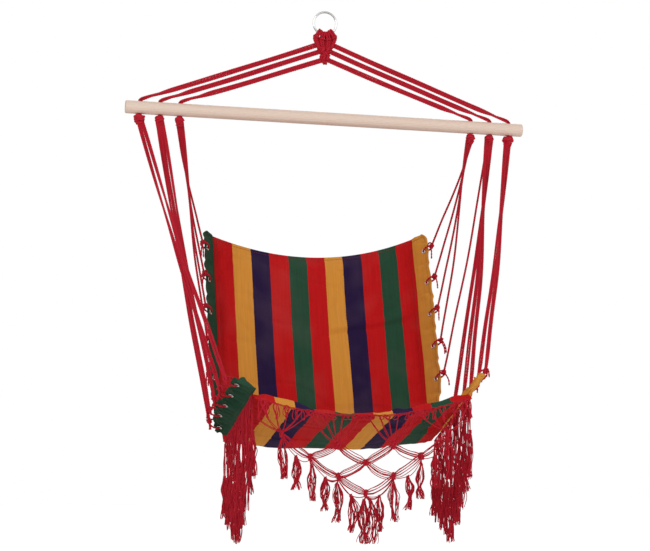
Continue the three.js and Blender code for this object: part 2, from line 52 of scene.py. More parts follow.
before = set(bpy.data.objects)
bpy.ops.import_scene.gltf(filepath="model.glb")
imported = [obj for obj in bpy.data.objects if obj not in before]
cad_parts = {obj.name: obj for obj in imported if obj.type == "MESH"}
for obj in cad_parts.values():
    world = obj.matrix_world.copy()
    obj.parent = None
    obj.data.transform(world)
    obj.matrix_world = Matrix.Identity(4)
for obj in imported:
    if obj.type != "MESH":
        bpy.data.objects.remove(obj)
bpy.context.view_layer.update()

# Places, as the frame has them
SIDES = (("left", -1), ("right", 1))
RING_CENTRE = Vector((0, 0, -0.0255))
RING_RADIUS = 0.0285
WIRE_RADIUS = 0.003
WIRE_FOOT = -0.054
HITCH_PITCH = 0.011
CROWN_DROPS = {"band": 0.022, "upper": 0.037, "lower": 0.055, "tip": 0.076}
CROWN_WIDTHS = {"band": 0.044, "upper": 0.034, "lower": 0.029}
ROPE_STARTS = ((0.021, 0.026), (0.0159, 0.043), (0.0122, 0.065))

BAR_TILT = math.radians(1.8)
BAR_AXIS = Vector((math.cos(BAR_TILT), 0, -math.sin(BAR_TILT)))
BAR_DOWN = Vector((BAR_AXIS.z, 0, -BAR_AXIS.x))
BAR_CENTRE = Vector((0.006, 0, -0.264))
BAR_LENGTH = 1.0
BAR_RADIUS = 0.016
HOLE_RADIUS = 0.0055
HOLE_PLACES = (0.465, 0.416, 0.367)
STOPPER_HEIGHT = 0.025
STOPPER_WIDTHS = (0.028, 0.022, 0.022)
WHIP_DROPS = (0.005, 0.0048, 0.0048)
ASIDE_SHARE = 0.55

PAD_WIDTH = 0.528
CREASE = Vector((0.018, 0.051, -1.078))
CREASE_GAP = 0.011
CREASE_RISE = 0.016
BACK_HEIGHT = 0.520
BACK_SAG = 0.057
BACK_BELLY = 0.014
SEAT_DEPTH = 0.448
SEAT_SAG = 0.054
SEAT_CHORD = 0.502
RECLINE = math.radians(20.5)
RISE = math.radians(12)
BACK_UP = Vector((0, math.sin(RECLINE), math.cos(RECLINE)))
BACK_OUT = Vector((0, -math.cos(RECLINE), math.sin(RECLINE)))
SEAT_FORWARD = Vector((0, -math.cos(RISE), math.sin(RISE)))
SEAT_UP = Vector((0, math.sin(RISE), math.cos(RISE)))
UP = Vector((0, 0, 1))
GAP = 0.0003

FLAP_SHAPES = {
    "back": {"start": 0.034, "narrow": 0.020, "first": 0.106, "margin": 0.048},
    "seat": {"start": 0.062, "narrow": 0.034, "first": 0.032, "margin": 0.032},
}
FLAP_TAPER = 0.100
FLAP_FOLD = 0.004
# How far each flap is turned up from level, and how far off the pad's edge it starts
FLAP_TURNS = {
    ("back", "left"): (math.radians(60), 0.0038),
    ("back", "right"): (math.radians(60), 0.0038),
    ("seat", "left"): (math.radians(28), 0.0017),
    ("seat", "right"): (math.radians(50), 0.0024),
}
FLAP_PLEATS = {"back": 0.0016, "seat": 0.0115}
HEM_ROLL = 0.11
HEM_ROLLS = (0.0095, 0.0205)
FOLD_REACH = 0.06
FLAP_TUCK = 0.005
FLAP_TUCK_SHARE = 0.12
EYELETS = 5
EYELET_INSET = 0.016
EYELET_RADIUS = 0.0067
EYELET_BORE = 0.0043
EYELET_CLEAR = 0.0085
LOOP_LENGTH = 0.031
LOOP_HEIGHT = 0.017
LOOP_SEAT = 0.0014
LOOP_POINTS = 16

HEM_SCALLOP = 0.060
HEM_CURL = 0.007
HEM_DROP = 0.008
NECK_DROP = 0.018
FRONT_NET = {
    "pitch": 0.064, "wing": 3, "rows": (0, 0.066, 0.100, 0.134, 0.168), "lift": 0.030,
    "net": 0.170, "net_end": 0.068, "depth": 0.283, "end": 0.140,
}
SIDE_NET = {
    "pitch": 0.048, "wing": 4, "rows": (0, 0.042, 0.084, 0.126), "lift": 0.0,
    "net": 0.150, "net_end": 0.066, "depth": 0.292, "end": 0.190,
}


# Sizes and colours that a user would change
def colour(name, description, value):
    """A colour property with its default."""
    return FloatVectorProperty(
        name=name, description=description, subtype="COLOR", size=3, min=0, max=1, default=value
    )


def length(name, description, value):
    """A length property with its default."""
    return FloatProperty(
        name=name, description=description, unit="LENGTH", min=0, precision=4, default=value
    )


class CordSettings(bpy.types.PropertyGroup):
    """The twisted cords and threads."""

    rope_dia: length("Rope cord", "Diameter of one cord of the upper ropes", 0.005)
    cord_dia: length("Seat cord", "Diameter of one cord below the bar", 0.0058)
    turn: length("Lay", "Length of one full turn of a cord's strands", 0.017)
    thread_dia: length("Thread", "Diameter of one thread of the nets and tassels", 0.0018)
    dye: colour("Dye", "Colour of the cords", (0.53, 0.016, 0.032))
    # Painted shade: the colour that cords are given down in the grooves between their strands, where shade
    # falls; loose threads take it as a darker tone at random
    shade: colour("Shade", "Colour down between the strands", (0.15, 0.002, 0.010))


class ClothSettings(bpy.types.PropertyGroup):
    """The striped cloth and its flaps."""

    thickness: length("Pad thickness", "Thickness of the pads at their middle", 0.018)
    flap_width: length("Flap width", "Width of the laced cloth edges", 0.052)
    flap_cloth: length("Flap cloth", "Thickness of the folded cloth of a flap", 0.0026)
    thread: length("Thread pitch", "Distance between the warp threads", 0.0016)
    red: colour("Red", "Red stripes", (0.60, 0.012, 0.014))
    ochre: colour("Ochre", "Ochre stripes", (0.78, 0.330, 0.052))
    navy: colour("Navy", "Dark blue stripes", (0.026, 0.013, 0.058))
    green: colour("Green", "Green stripes", (0.026, 0.082, 0.046))


class WoodSettings(bpy.types.PropertyGroup):
    """The spreader bar."""

    edge: length("Rounded edge", "Radius of the bar's rounded ends", 0.003)
    early: colour("Early wood", "Lighter wood of the grain", (0.82, 0.67, 0.56))
    late: colour("Late wood", "Darker wood of the grain", (0.70, 0.52, 0.41))


class FringeSettings(bpy.types.PropertyGroup):
    """The knotted nets and their tassels."""

    strands: IntProperty(
        name="Net threads", description="Threads side by side in the net", min=2, max=9, default=7
    )
    tassel: IntProperty(
        name="Tassel threads", description="Threads in one tassel", min=5, max=30, default=18
    )
    knot: length("Knot", "Width of one knot of the net", 0.013)


class StageSettings(bpy.types.PropertyGroup):
    """The camera and the backdrop."""

    lens: FloatProperty(
        name="Lens", description="Focal length in millimetres", min=10, max=300, default=103.9
    )
    floor: length("Floor drop", "Distance from the top of the ring down to the floor", 1.72)


class HammockSettings(bpy.types.PropertyGroup):
    """All of the chair's settings."""

    cords: PointerProperty(name="Cords", description="Cords and threads", type=CordSettings)
    cloth: PointerProperty(name="Cloth", description="Pads and flaps", type=ClothSettings)
    wood: PointerProperty(name="Wood", description="Spreader bar", type=WoodSettings)
    fringe: PointerProperty(name="Fringe", description="Nets and tassels", type=FringeSettings)
    stage: PointerProperty(name="Stage", description="Camera and backdrop", type=StageSettings)


def settings():
    """The chair's settings in the open scene."""
    return bpy.context.scene.hammock


# Shader building
class Socket:
    """A node's output, on which Python's operators add Math nodes."""

    def __init__(self, shader, link):
        self.shader = shader
        self.link = link

    def _math(self, operation, *values):
        return self.shader.node("ShaderNodeMath", {"operation": operation}, dict(enumerate(values)))

    def __add__(self, other):
        return self._math("ADD", self, other)

    def __radd__(self, other):
        return self._math("ADD", other, self)

    def __sub__(self, other):
        return self._math("SUBTRACT", self, other)

    def __rsub__(self, other):
        return self._math("SUBTRACT", other, self)

    def __mul__(self, other):
        return self._math("MULTIPLY", self, other)

    def __rmul__(self, other):
        return self._math("MULTIPLY", other, self)

    def __truediv__(self, other):
        return self._math("DIVIDE", self, other)

    def __pow__(self, other):
        return self._math("POWER", self, other)

    def sine(self):
        """The sine of this value."""
        return self._math("SINE", self)

    def size(self):
        """This value without its sign."""
        return self._math("ABSOLUTE", self)

    def above(self, limit):
        """1 where this value is over the limit, and 0 elsewhere."""
        return self._math("GREATER_THAN", self, limit)

    def clip(self):
        """This value kept between 0 and 1."""
        return self.shader.node("ShaderNodeClamp", {}, {0: self})

    def between(self, low, high):
        """0 at low and below, 1 at high and above, straight in between."""
        return self.shader.node("ShaderNodeMapRange", {"clamp": True}, {0: self, 1: low, 2: high})


class Shader:
    """A material with one Principled shader, and calls that add nodes to it."""

    def __init__(self, name, **constants):
        self.material = bpy.data.materials.new(name)
        self.material.use_nodes = True
        self.tree = self.material.node_tree
        self.main = self.tree.nodes["Principled BSDF"]
        for key, value in constants.items():
            self.main.inputs[key.replace("_", " ")].default_value = value

    def node(self, kind, choices, inputs, output=0):
        """Adds a node: its settings first, then the values or links of its sockets."""
        node = self.tree.nodes.new(kind)
        for key, value in choices.items():
            if key == "bands":
                self._bands(node.color_ramp, value)
            else:
                setattr(node, key, value)
        for key, value in inputs.items():
            self.feed(node.inputs[key], value)
        return Socket(self, node.outputs[output])

    @staticmethod
    def _bands(ramp, tints):
        ramp.elements[1].position = (len(tints) - 1) / len(tints)
        for i in range(1, len(tints) - 1):
            ramp.elements.new(i / len(tints))
        for element, tint in zip(ramp.elements, tints):
            element.color = (*tint, 1)
        ramp.interpolation = "CONSTANT"

    def feed(self, socket, value):
        """Links or sets one input."""
        if isinstance(value, Socket):
            self.tree.links.new(value.link, socket)
        elif socket.type == "RGBA" and len(value) == 3:
            socket.default_value = (*value, 1)
        else:
            socket.default_value = value

    def places(self):
        """Object coordinates."""
        return self.node("ShaderNodeTexCoord", {}, {}, "Object")

    def attribute(self, name, output="Vector"):
        """An attribute of the mesh."""
        return self.node("ShaderNodeAttribute", {"attribute_name": name}, {}, output)

    def stretched(self, vector, scale, turn=(0, 0, 0)):
        """Coordinates scaled, and turned after that."""
        return self.node("ShaderNodeMapping", {}, {"Vector": vector, "Scale": scale, "Rotation": turn})

    def axis(self, vector, name):
        """One of a vector's three numbers."""
        return self.node("ShaderNodeSeparateXYZ", {}, {0: vector}, name)

    def noise(self, vector, scale=1.0, detail=2.0, roughness=0.5):
        """Soft noise from 0 to 1."""
        inputs = {"Vector": vector, "Scale": scale, "Detail": detail, "Roughness": roughness}
        return self.node("ShaderNodeTexNoise", {}, inputs)

    def mix(self, share, first, second, blend="MIX"):
        """Colours mixed by a share."""
        choices = {"data_type": "RGBA", "blend_type": blend}
        return self.node("ShaderNodeMix", choices, {0: share, 6: first, 7: second}, 2)

    def bands(self, share, tints):
        """Plain bands of colour, all as wide, over a share from 0 to 1."""
        return self.node("ShaderNodeValToRGB", {"bands": tints}, {0: share})

    def bump(self, height, distance, strength=1.0):
        """A bumped normal into the shader."""
        inputs = {"Height": height, "Distance": distance, "Strength": strength}
        self.feed(self.main.inputs["Normal"], self.node("ShaderNodeBump", {}, inputs))

    def set(self, name, value):
        """Links or sets one of the shader's own inputs."""
        self.feed(self.main.inputs[name], value)


# Finishes
def polished_steel(name, roughness, tint):
    """Plated metal with fine scratches and a few dull patches."""
    shader = Shader(name, Metallic=1.0)
    places = shader.places()
    dull = shader.noise(places, 160, 4, 0.6)
    scratches = shader.noise(shader.stretched(places, (2600, 300, 300)), 1, 2)
    shader.set("Base Color", shader.mix(dull.between(0.35, 0.75), tint, [0.72 * c for c in tint]))
    shader.set("Roughness", (dull - 0.5) * 0.22 + (scratches - 0.5) * 0.12 + roughness)
    shader.bump(scratches, 0.00004, 0.6)
    return shader.material


GROWTH_RING = 0.0034
END_GRAIN = 0.0012


def beech(name):
    """Pale straight-grained wood with short flecks, and growth rings on its ends."""
    wood = settings().wood
    shader = Shader(name)
    laid = shader.attribute("lay")
    wander = shader.noise(shader.stretched(laid, (2.2, 16, 16)), 1, 3)
    along = shader.axis(laid, "X")
    across = shader.axis(laid, "Y")
    up = shader.axis(laid, "Z")
    radius = ((across + 0.034) ** 2.0 + (up + 0.052) ** 2.0) ** 0.5
    rings = ((radius + wander * 0.006) * (2 * math.pi / GROWTH_RING)).sine() * 0.5 + 0.5
    fine = shader.noise(shader.stretched(laid, (14, 1300, 1300)), 1, 3, 0.6)
    flecks = shader.noise(shader.stretched(laid, (170, 1500, 900)), 1, 1).between(0.66, 0.74)
    ends = along.size().between(BAR_LENGTH / 2 - END_GRAIN, BAR_LENGTH / 2)
    share = (rings * 0.55 + fine * 0.45).clip()
    tint = shader.mix(share, wood.late, wood.early)
    broad = shader.noise(shader.stretched(laid, (3, 40, 40)), 1, 2)
    tint = shader.mix(broad.between(0.3, 0.8) * 0.35, tint, (0.86, 0.64, 0.54))
    tint = shader.mix(flecks * 0.34, tint, (0.42, 0.24, 0.14))
    tint = shader.mix(ends * 0.45, tint, (0.48, 0.29, 0.17))
    shader.set("Base Color", tint)
    shader.set("Roughness", fine * 0.14 + 0.46)
    shader.bump(fine * 0.5 + rings * 0.2 - flecks * 0.3, 0.00022, 0.7)
    return shader.material


def cord_finish(name):
    """Dyed cotton cord: fibres along each strand, with painted shade down between the strands."""
    cords = settings().cords
    shader = Shader(name, Specular_IOR_Level=0.12)
    laid = shader.attribute("lay")
    crown = shader.attribute("crown", "Fac")
    fibres = shader.noise(shader.stretched(laid, (2300, 2300, 260)), 1, 3, 0.65)
    worn = shader.noise(shader.stretched(laid, (40, 40, 9)), 1, 3)
    # Painted shade: darker towards the grooves between the strands, by each point's distance from the cord's
    # middle
    tint = shader.mix((crown * 1.25 - 0.12 + (fibres - 0.5) * 0.7).clip(), cords.shade, cords.dye)
    tint = shader.mix(worn.between(0.42, 0.8) * 0.30, tint, (0.58, 0.035, 0.055))
    tint = shader.mix(fibres.between(0.62, 0.80) * 0.22, tint, (0.72, 0.12, 0.14))
    shader.set("Base Color", tint)
    shader.set("Roughness", 0.98 - fibres * 0.16)
    shader.bump(fibres, 0.0005, 0.85)
    return shader.material


def thread_finish(name):
    """The same dye on thin loose threads."""
    cords = settings().cords
    shader = Shader(name, Specular_IOR_Level=0.12)
    places = shader.places()
    fuzz = shader.noise(places, 1500, 2, 0.6)
    bundle = shader.noise(places, 120, 3)
    tint = shader.mix(bundle.between(0.2, 0.6) * 0.5 + 0.5, cords.shade, cords.dye)
    tint = shader.mix(fuzz.between(0.5, 0.8) * 0.25, tint, (0.60, 0.04, 0.06))
    shader.set("Base Color", tint)
    shader.set("Roughness", 0.97 - fuzz * 0.15)
    shader.bump(fuzz, 0.0003, 0.8)
    return shader.material


SEAM_INSET = 0.0085
STITCH_PITCH = 0.0046


def woven(name, tints):
    """Coarse cotton weave in one colour, or in even stripes across attribute weave's X, with painted
    highlights on its slubs and a painted shade line along its seams.
    """
    cloth = settings().cloth
    shader = Shader(name, Specular_IOR_Level=0.06)
    weave = shader.attribute("weave")
    x = shader.axis(weave, "X")
    y = shader.axis(weave, "Y")
    depth = shader.axis(weave, "Z")
    slub = shader.noise(shader.stretched(weave, (620, 20, 1)), 1, 3, 0.6)
    pick = shader.noise(shader.stretched(weave, (28, 760, 1)), 1, 2, 0.5)
    turn = math.pi / cloth.thread
    warp = (x * turn + slub * 1.4).sine()
    weft = (y * turn * 0.8 + pick * 1.2).sine()
    over = warp * weft
    if len(tints) > 1:
        ragged = (pick - 0.5) * 0.0018
        base = shader.bands((x + ragged) / PAD_WIDTH, tints)
    else:
        base = shader.mix(pick.between(0.2, 0.8) * 0.3, tints[0], [0.8 * c for c in tints[0]])
    streaks = shader.noise(shader.stretched(weave, (260, 7, 1)), 1, 3, 0.7)
    tint = shader.mix(streaks.between(0.35, 0.85) * 0.55, base, (0.66, 0.62, 0.60), "MULTIPLY")
    tint = shader.mix((over * 0.5 + 0.5) * 0.30, tint, (0.55, 0.52, 0.52), "MULTIPLY")
    # Painted highlight: the raised slubs are made lighter, as if they catch the light
    slub_highlight = shader.mix(1.0, tint, (1.35, 1.35, 1.3), "MULTIPLY")
    tint = shader.mix(slub.between(0.60, 0.82) * 0.30, tint, slub_highlight)
    faded = shader.noise(shader.stretched(weave, (9, 9, 1)), 1, 2)
    tint = shader.mix(faded.between(0.45, 0.8) * 0.06, tint, (0.50, 0.35, 0.30))
    stitch = (depth * (2 * math.pi / STITCH_PITCH)).sine().above(-0.25)
    edge = shader.attribute("edge", "Fac")
    off_seam = (edge - SEAM_INSET).size()
    row = 1 - (off_seam * 1600).clip()
    seam = 1 - (off_seam * 420).clip()
    sewn = (row * stitch).clip()
    # Painted shade: a darker line in the seam's groove, where shade falls
    tint = shader.mix(seam * 0.35, tint, (0.30, 0.28, 0.28), "MULTIPLY")
    tint = shader.mix(sewn * 0.7, tint, (0.55, 0.10, 0.09))
    shader.set("Base Color", tint)
    shader.set("Roughness", 0.99 - slub * 0.12)
    shader.bump(over * 0.35 + slub * 0.6 + pick * 0.3 - seam * 1.6 + sewn * 1.2, 0.00045, 0.8)
    return shader.material


FINISHES = {}


def finish_of(name):
    """One finish by name, made when it is first asked for."""
    if name not in FINISHES:
        cloth = settings().cloth
        red, ochre, navy, green = cloth.red[:], cloth.ochre[:], cloth.navy[:], cloth.green[:]
        makers = {
            "steel": lambda: polished_steel("ring steel", 0.20, (0.66, 0.66, 0.65)),
            "nickel": lambda: polished_steel("eyelet nickel", 0.27, (0.74, 0.73, 0.70)),
            "beech": lambda: beech("bar beech"),
            "cord": lambda: cord_finish("twisted cord"),
            "thread": lambda: thread_finish("loose thread"),
            "striped_cloth": lambda: woven(
                "striped cloth", [red, ochre, navy, red, green, red, ochre, navy, red, green, red]
            ),
            "green_cloth": lambda: woven("green cloth", [green]),
            "ochre_cloth": lambda: woven("ochre cloth", [ochre]),
        }
        FINISHES[name] = makers[name]()
    return FINISHES[name]


# Making pieces
def add_object(name, data, finish=None):
    """An object in the scene for mesh or curve data, with its finish."""
    piece = bpy.data.objects.new(name, data)
    bpy.context.collection.objects.link(piece)
    if finish:
        piece.data.materials.append(finish_of(finish))
    return piece


def from_bmesh(name, bm, finish, smooth=True):
    """An object from a bmesh, which is freed."""
    bmesh.ops.recalc_face_normals(bm, faces=bm.faces[:])
    mesh = bpy.data.meshes.new(name)
    bm.to_mesh(mesh)
    bm.free()
    mesh.polygons.foreach_set("use_smooth", [smooth] * len(mesh.polygons))
    return add_object(name, mesh, finish)


def points_of(mesh):
    """A mesh's points as rows of numbers."""
    found = np.empty(len(mesh.vertices) * 3)
    mesh.vertices.foreach_get("co", found)
    return found.reshape(-1, 3)


def move_points(mesh, places):
    """Puts a mesh's points at these rows of numbers."""
    mesh.vertices.foreach_set("co", np.asarray(places, float).ravel())
    mesh.update()


def add_attribute(mesh, name, values):
    """A number or a vector for each point."""
    values = np.asarray(values, np.float32)
    kind, field = ("FLOAT", "value") if values.ndim == 1 else ("FLOAT_VECTOR", "vector")
    mesh.attributes.new(name, kind, "POINT").data.foreach_set(field, values.ravel())


def joined(name, pieces):
    """One object from several."""
    first = pieces[0]
    if len(pieces) > 1:
        with bpy.context.temp_override(active_object=first, selected_editable_objects=pieces):
            bpy.ops.object.join()
    first.name = name
    first.data.name = name
    return first


def worked_out(piece):
    """A new mesh of a piece or a curve, as its modifiers or its bevel make it."""
    depsgraph = bpy.context.evaluated_depsgraph_get()
    return bpy.data.meshes.new_from_object(piece.evaluated_get(depsgraph))


def applied(piece):
    """The piece with its modifiers made part of its mesh."""
    mesh = worked_out(piece)
    old = piece.data
    piece.modifiers.clear()
    piece.data = mesh
    bpy.data.meshes.remove(old)
    return piece


def modify(piece, kind, **choices):
    """Adds a modifier with these settings."""
    modifier = piece.modifiers.new(kind.title(), kind)
    for key, value in choices.items():
        setattr(modifier, key, value)
    return modifier


def settle(piece, body, finish, *nodes):
    """The piece moves with its body, or at the fold has its place baked into its mesh, and stands for its
    CAD nodes.
    """
    if body == "fold":
        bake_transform(piece)
    else:
        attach(piece, body)
    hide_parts(*nodes)
    return piece


def mix(first, second, share):
    """A number or a vector between two others."""
    return first + (second - first) * share


def smooth(share):
    """A share from 0 to 1, or rows of them, with a gentle start and end."""
    return share * share * (3 - 2 * share)


def ease(share):
    """A smooth step from 0 to 1, level before and after."""
    return smooth(min(max(share, 0.0), 1.0))


class Route:
    """A smooth line through points, with a frame beside it that doesn't spin."""

    def __init__(self, points, closed=False, step=0.002):
        given = [Vector(p) for p in points]
        if closed:
            given = [given[-1], *given, given[0], given[1]]
        else:
            given = [given[0] * 2 - given[1], *given, given[-1] * 2 - given[-2]]
        fine = []
        for a, b, c, d in zip(given, given[1:], given[2:], given[3:]):
            count = max(2, math.ceil((c - b).length / step))
            fine += [self._between(a, b, c, d, i / count) for i in range(count)]
        fine.append(given[-2])
        self.points = np.array(fine)
        legs = np.linalg.norm(np.diff(self.points, axis=0), axis=1)
        self.stations = np.concatenate(([0], np.cumsum(legs)))
        self.length = float(self.stations[-1])
        self._frames(closed)

    @staticmethod
    def _between(a, b, c, d, t):
        bend = 2 * a - 5 * b + 4 * c - d
        return b + 0.5 * t * ((c - a) + t * (bend + t * (3 * (b - c) + d - a)))

    def _frames(self, closed):
        tangents = [Vector(t).normalized() for t in np.gradient(self.points, axis=0)]
        if closed:
            tangents[0] = tangents[-1] = (tangents[0] + tangents[-1]).normalized()
        right = tangents[0].orthogonal().normalized()
        if abs(tangents[0].y) < 0.9:
            right = tangents[0].cross(Vector((0, 1, 0))).normalized()
        rights = []
        for tangent in tangents:
            right = (right - tangent * right.dot(tangent)).normalized()
            rights.append(right)
        if closed:
            sense = 1 if rights[-1].cross(rights[0]).dot(tangents[0]) > 0 else -1
            drift = rights[-1].angle(rights[0], 0) * sense
            for i, tangent in enumerate(tangents):
                rights[i] = Matrix.Rotation(drift * i / (len(tangents) - 1), 3, tangent) @ rights[i]
        self.rights = np.array(rights)
        self.fronts = np.array([t.cross(r) for t, r in zip(tangents, rights)])

    def _at(self, rows, distances):
        return np.stack([np.interp(distances, self.stations, rows[:, i]) for i in range(3)], axis=1)

    def bend(self, straight):
        """Points of a straight piece, laid along this line instead of along Z."""
        straight = np.asarray(straight, float)
        along = straight[:, 2]
        beside = self._at(self.rights, along) * straight[:, :1]
        return self._at(self.points, along) + beside + self._at(self.fronts, along) * straight[:, 1:2]


# A strand's radius as a share of the cord's width, by the number of strands
PLY_SHARES = {2: 0.32, 3: 0.275}


def twisted_cord(name, route, dia, offset=None, plies=2, sides=6, turn=None, per_turn=8, closed=False):
    """A cord of twisted strands along a route, a way off it that may change as it goes."""
    turn = turn or settings().cords.turn
    ply = dia * PLY_SHARES[plies]
    reach = dia / 2 - ply
    bm = bmesh.new()
    for i in range(plies):
        angle = 2 * math.pi * i / plies
        shift = Matrix.Translation((reach * math.cos(angle), reach * math.sin(angle), 0))
        bmesh.ops.create_circle(bm, segments=sides, radius=ply, matrix=shift)
    turns = route.length / turn
    if closed:
        turns = max(1, round(turns * plies)) / plies
    steps = max(4, math.ceil(turns * per_turn))
    piece = from_bmesh(name, bm, "cord")
    modify(
        piece, "SCREW", axis="Z", angle=2 * math.pi * turns, screw_offset=route.length,
        steps=steps, render_steps=steps, use_smooth_shade=True,
    )
    applied(piece)
    close_ends(piece, 0 if closed else sides)
    straight = points_of(piece.data)
    x, y, along = straight.T
    back = -2 * math.pi * turns * along / route.length
    untwisted = (x * np.cos(back) - y * np.sin(back), x * np.sin(back) + y * np.cos(back), along)
    add_attribute(piece.data, "lay", np.stack(untwisted, axis=1))
    add_attribute(piece.data, "crown", np.hypot(x, y) / (dia / 2))
    if offset is not None:
        straight[:, :2] += offset(straight[:, 2]) if callable(offset) else np.array(offset)
    move_points(piece.data, route.bend(straight))
    if closed:
        close_ends(piece, sides, ply * 0.5)
    return piece


def outline(bm, points, closed=False):
    """Adds points to a bmesh, joined in a row."""
    row = [bm.verts.new(point) for point in points]
    for first, second in zip(row, row[1:] + row[:1] if closed else row[1:]):
        bm.edges.new((first, second))


def spin_round(bm, axis, steps):
    """Spins all of a bmesh once about an axis through the origin."""
    bmesh.ops.spin(
        bm, geom=bm.verts[:] + bm.edges[:], cent=(0, 0, 0), axis=axis,
        angle=2 * math.pi, steps=steps, use_merge=True,
    )


def close_ends(piece, sides, reach=0.0):
    """Welds ends that meet within reach, fills the ends that don't, and turns all faces out."""
    bm = bmesh.new()
    bm.from_mesh(piece.data)
    if reach:
        rim = list({v for e in bm.edges if e.is_boundary for v in e.verts})
        bmesh.ops.remove_doubles(bm, verts=rim, dist=reach)
    if sides:
        bmesh.ops.holes_fill(bm, edges=[e for e in bm.edges if e.is_boundary], sides=sides)
    bmesh.ops.recalc_face_normals(bm, faces=bm.faces[:])
    bm.to_mesh(piece.data)
    bm.free()


def turned_to(axis):
    """The matrix that turns +Z to an axis."""
    return Vector(axis).to_track_quat("Z", "Y").to_matrix()


KNOT_POINTS = 27


def tight_knot(name, centre, width, height, axis, plies, spin, per_turn=8, sides=6, fat=0.36):
    """A cord pulled into a knot of this size about an axis."""
    dia = width * fat
    ring = width * 0.17
    wave = (width - dia) / 2 - ring
    rise = (height - dia) / 2
    frame_way = turned_to(axis) @ Matrix.Rotation(spin, 3, "Z")
    points = []
    for i in range(KNOT_POINTS):
        t = 2 * math.pi * i / KNOT_POINTS
        radius = ring + wave * math.cos(3 * t)
        local = Vector((radius * math.cos(2 * t), radius * math.sin(2 * t), rise * math.sin(3 * t)))
        points.append(Vector(centre) + frame_way @ local)
    route = Route(points, closed=True, step=dia / 3)
    return twisted_cord(
        name, route, dia, plies=plies, sides=sides, turn=dia * 3.4, per_turn=per_turn, closed=True
    )


def thin_threads(name, lines, dia, sides):
    """Thin threads along lines of points, as one mesh."""
    curve = bpy.data.curves.new(name, "CURVE")
    curve.dimensions = "3D"
    curve.bevel_depth = dia / 2
    curve.bevel_resolution = sides
    curve.use_fill_caps = True
    for line in lines:
        spline = curve.splines.new("POLY")
        spline.points.add(len(line) - 1)
        spline.points.foreach_set("co", [n for p in line for n in (*p, 1)])
        spline.points.foreach_set("radius", [1.0] * len(line))
    carrier = bpy.data.objects.new(name, curve)
    bpy.context.collection.objects.link(carrier)
    mesh = worked_out(carrier)
    bpy.data.objects.remove(carrier)
    bpy.data.curves.remove(curve)
    mesh.materials.clear()
    mesh.polygons.foreach_set("use_smooth", [True] * len(mesh.polygons))
    return add_object(name, mesh, "thread")


# The forms that several pieces share
def back_at(across, along):
    """The back's middle surface: across from -1 to 1, along from 0 at the fold to 1 at the top."""
    height = CREASE_GAP / 2 + along * (BACK_HEIGHT - CREASE_GAP / 2 + BACK_SAG * across**2)
    belly = BACK_BELLY * math.sin(math.pi * along) * (1 - across**2)
    up = height + CREASE_RISE * across**2 * (1 - along)
    return CREASE + Vector((across * PAD_WIDTH / 2, 0, 0)) + BACK_UP * up - BACK_OUT * belly


def seat_at(across, along):
    """The seat's middle surface: across from -1 to 1, along from 0 at the fold to 1 at the front."""
    half = mix(PAD_WIDTH, SEAT_CHORD, along) / 2
    lift = across**2 * mix(CREASE_RISE, SEAT_SAG, along)
    forward = CREASE_GAP / 2 + along * (SEAT_DEPTH - CREASE_GAP / 2)
    return CREASE + Vector((across * half, 0, 0)) + SEAT_FORWARD * forward + SEAT_UP * lift


def hem_roll(across):
    """How far the seat's front hem is rolled down at a place across it."""
    return mix(*HEM_ROLLS, min(1.0, abs(across)) ** 1.5)


class Flap:
    """One laced cloth edge: its surface, and where its eyelets are."""

    def __init__(self, part, side, sign):
        back = part == "back"
        self.part, self.side, self.sign = part, side, sign
        self.surface = back_at if back else seat_at
        self.shape = FLAP_SHAPES[part]
        normal = BACK_OUT if back else SEAT_UP
        whole = BACK_HEIGHT if back else SEAT_DEPTH
        turn, self.reach = FLAP_TURNS[part, side]
        self.outward = Vector((sign * math.cos(turn), 0, 0)) + normal * math.sin(turn)
        self.start = self.shape["start"] / whole
        self.length = whole - self.shape["start"]
        self.first = self.shape["first"]
        self.step = (self.length - self.first - self.shape["margin"]) / (EYELETS - 1)

    def width(self, b):
        """The flap's width at share b of its length."""
        return mix(self.shape["narrow"], settings().cloth.flap_width, ease(b * self.length / FLAP_TAPER))

    def fold(self, b):
        """How far the cloth stands out between eyelets, from 0 at an eyelet to 1 half way."""
        steps = max((b * self.length - self.first) / self.step, -0.5)
        flat = EYELET_RADIUS * 1.5
        away = abs(steps - round(steps)) * self.step
        return ease((away - flat) / (self.step / 2 - flat))

    def at(self, a, b):
        """A point of its surface: a across from the pad, b along from the fold."""
        along = mix(self.start, 1, b)
        base = self.surface(self.sign, along)
        edge_on = self.surface(self.sign, along + 0.01) - base
        fold_way = self.outward.cross(edge_on).normalized() * -self.sign
        reach = self.reach + a * self.width(b)
        return base + self.outward * reach + fold_way * (a * FLAP_FOLD * self.fold(b))

    def eyelets(self):
        """The middle and the facing of each eyelet, from the fold up."""
        found = []
        for k in range(EYELETS):
            b = (self.first + k * self.step) / self.length
            a = 1 - EYELET_INSET / self.width(b)
            across = self.at(a + 0.01, b) - self.at(a - 0.01, b)
            along = self.at(a, b + 0.01) - self.at(a, b - 0.01)
            found.append((self.at(a, b), across.cross(along).normalized()))
        return found


FLAPS = [(part, side, sign) for part in ("back", "seat") for side, sign in SIDES]


def on_bar(along):
    """A point on the bar's axis."""
    return BAR_CENTRE + BAR_AXIS * along


def stopper_centre(sign, i):
    """The middle of a stopper knot, outermost hole first."""
    return on_bar(sign * HOLE_PLACES[i]) + BAR_DOWN * (BAR_RADIUS + GAP + STOPPER_HEIGHT / 2)


def below_wire(x, drop, y=0.0):
    """A point of the crown, this far below the ring's wire."""
    return Vector((x, y, WIRE_FOOT - drop))


def wander(seed, size, wave=0.05):
    """A slow drift off a cord's line, which differs for each seed."""
    first, second = math.sin(seed * 12.9) * 3, math.cos(seed * 7.7) * 3

    def drift(distances):
        phase = distances * (2 * math.pi / wave / 3)
        return np.stack([np.sin(phase + first), np.sin(phase * 0.83 + second)], axis=1) * size

    return drift


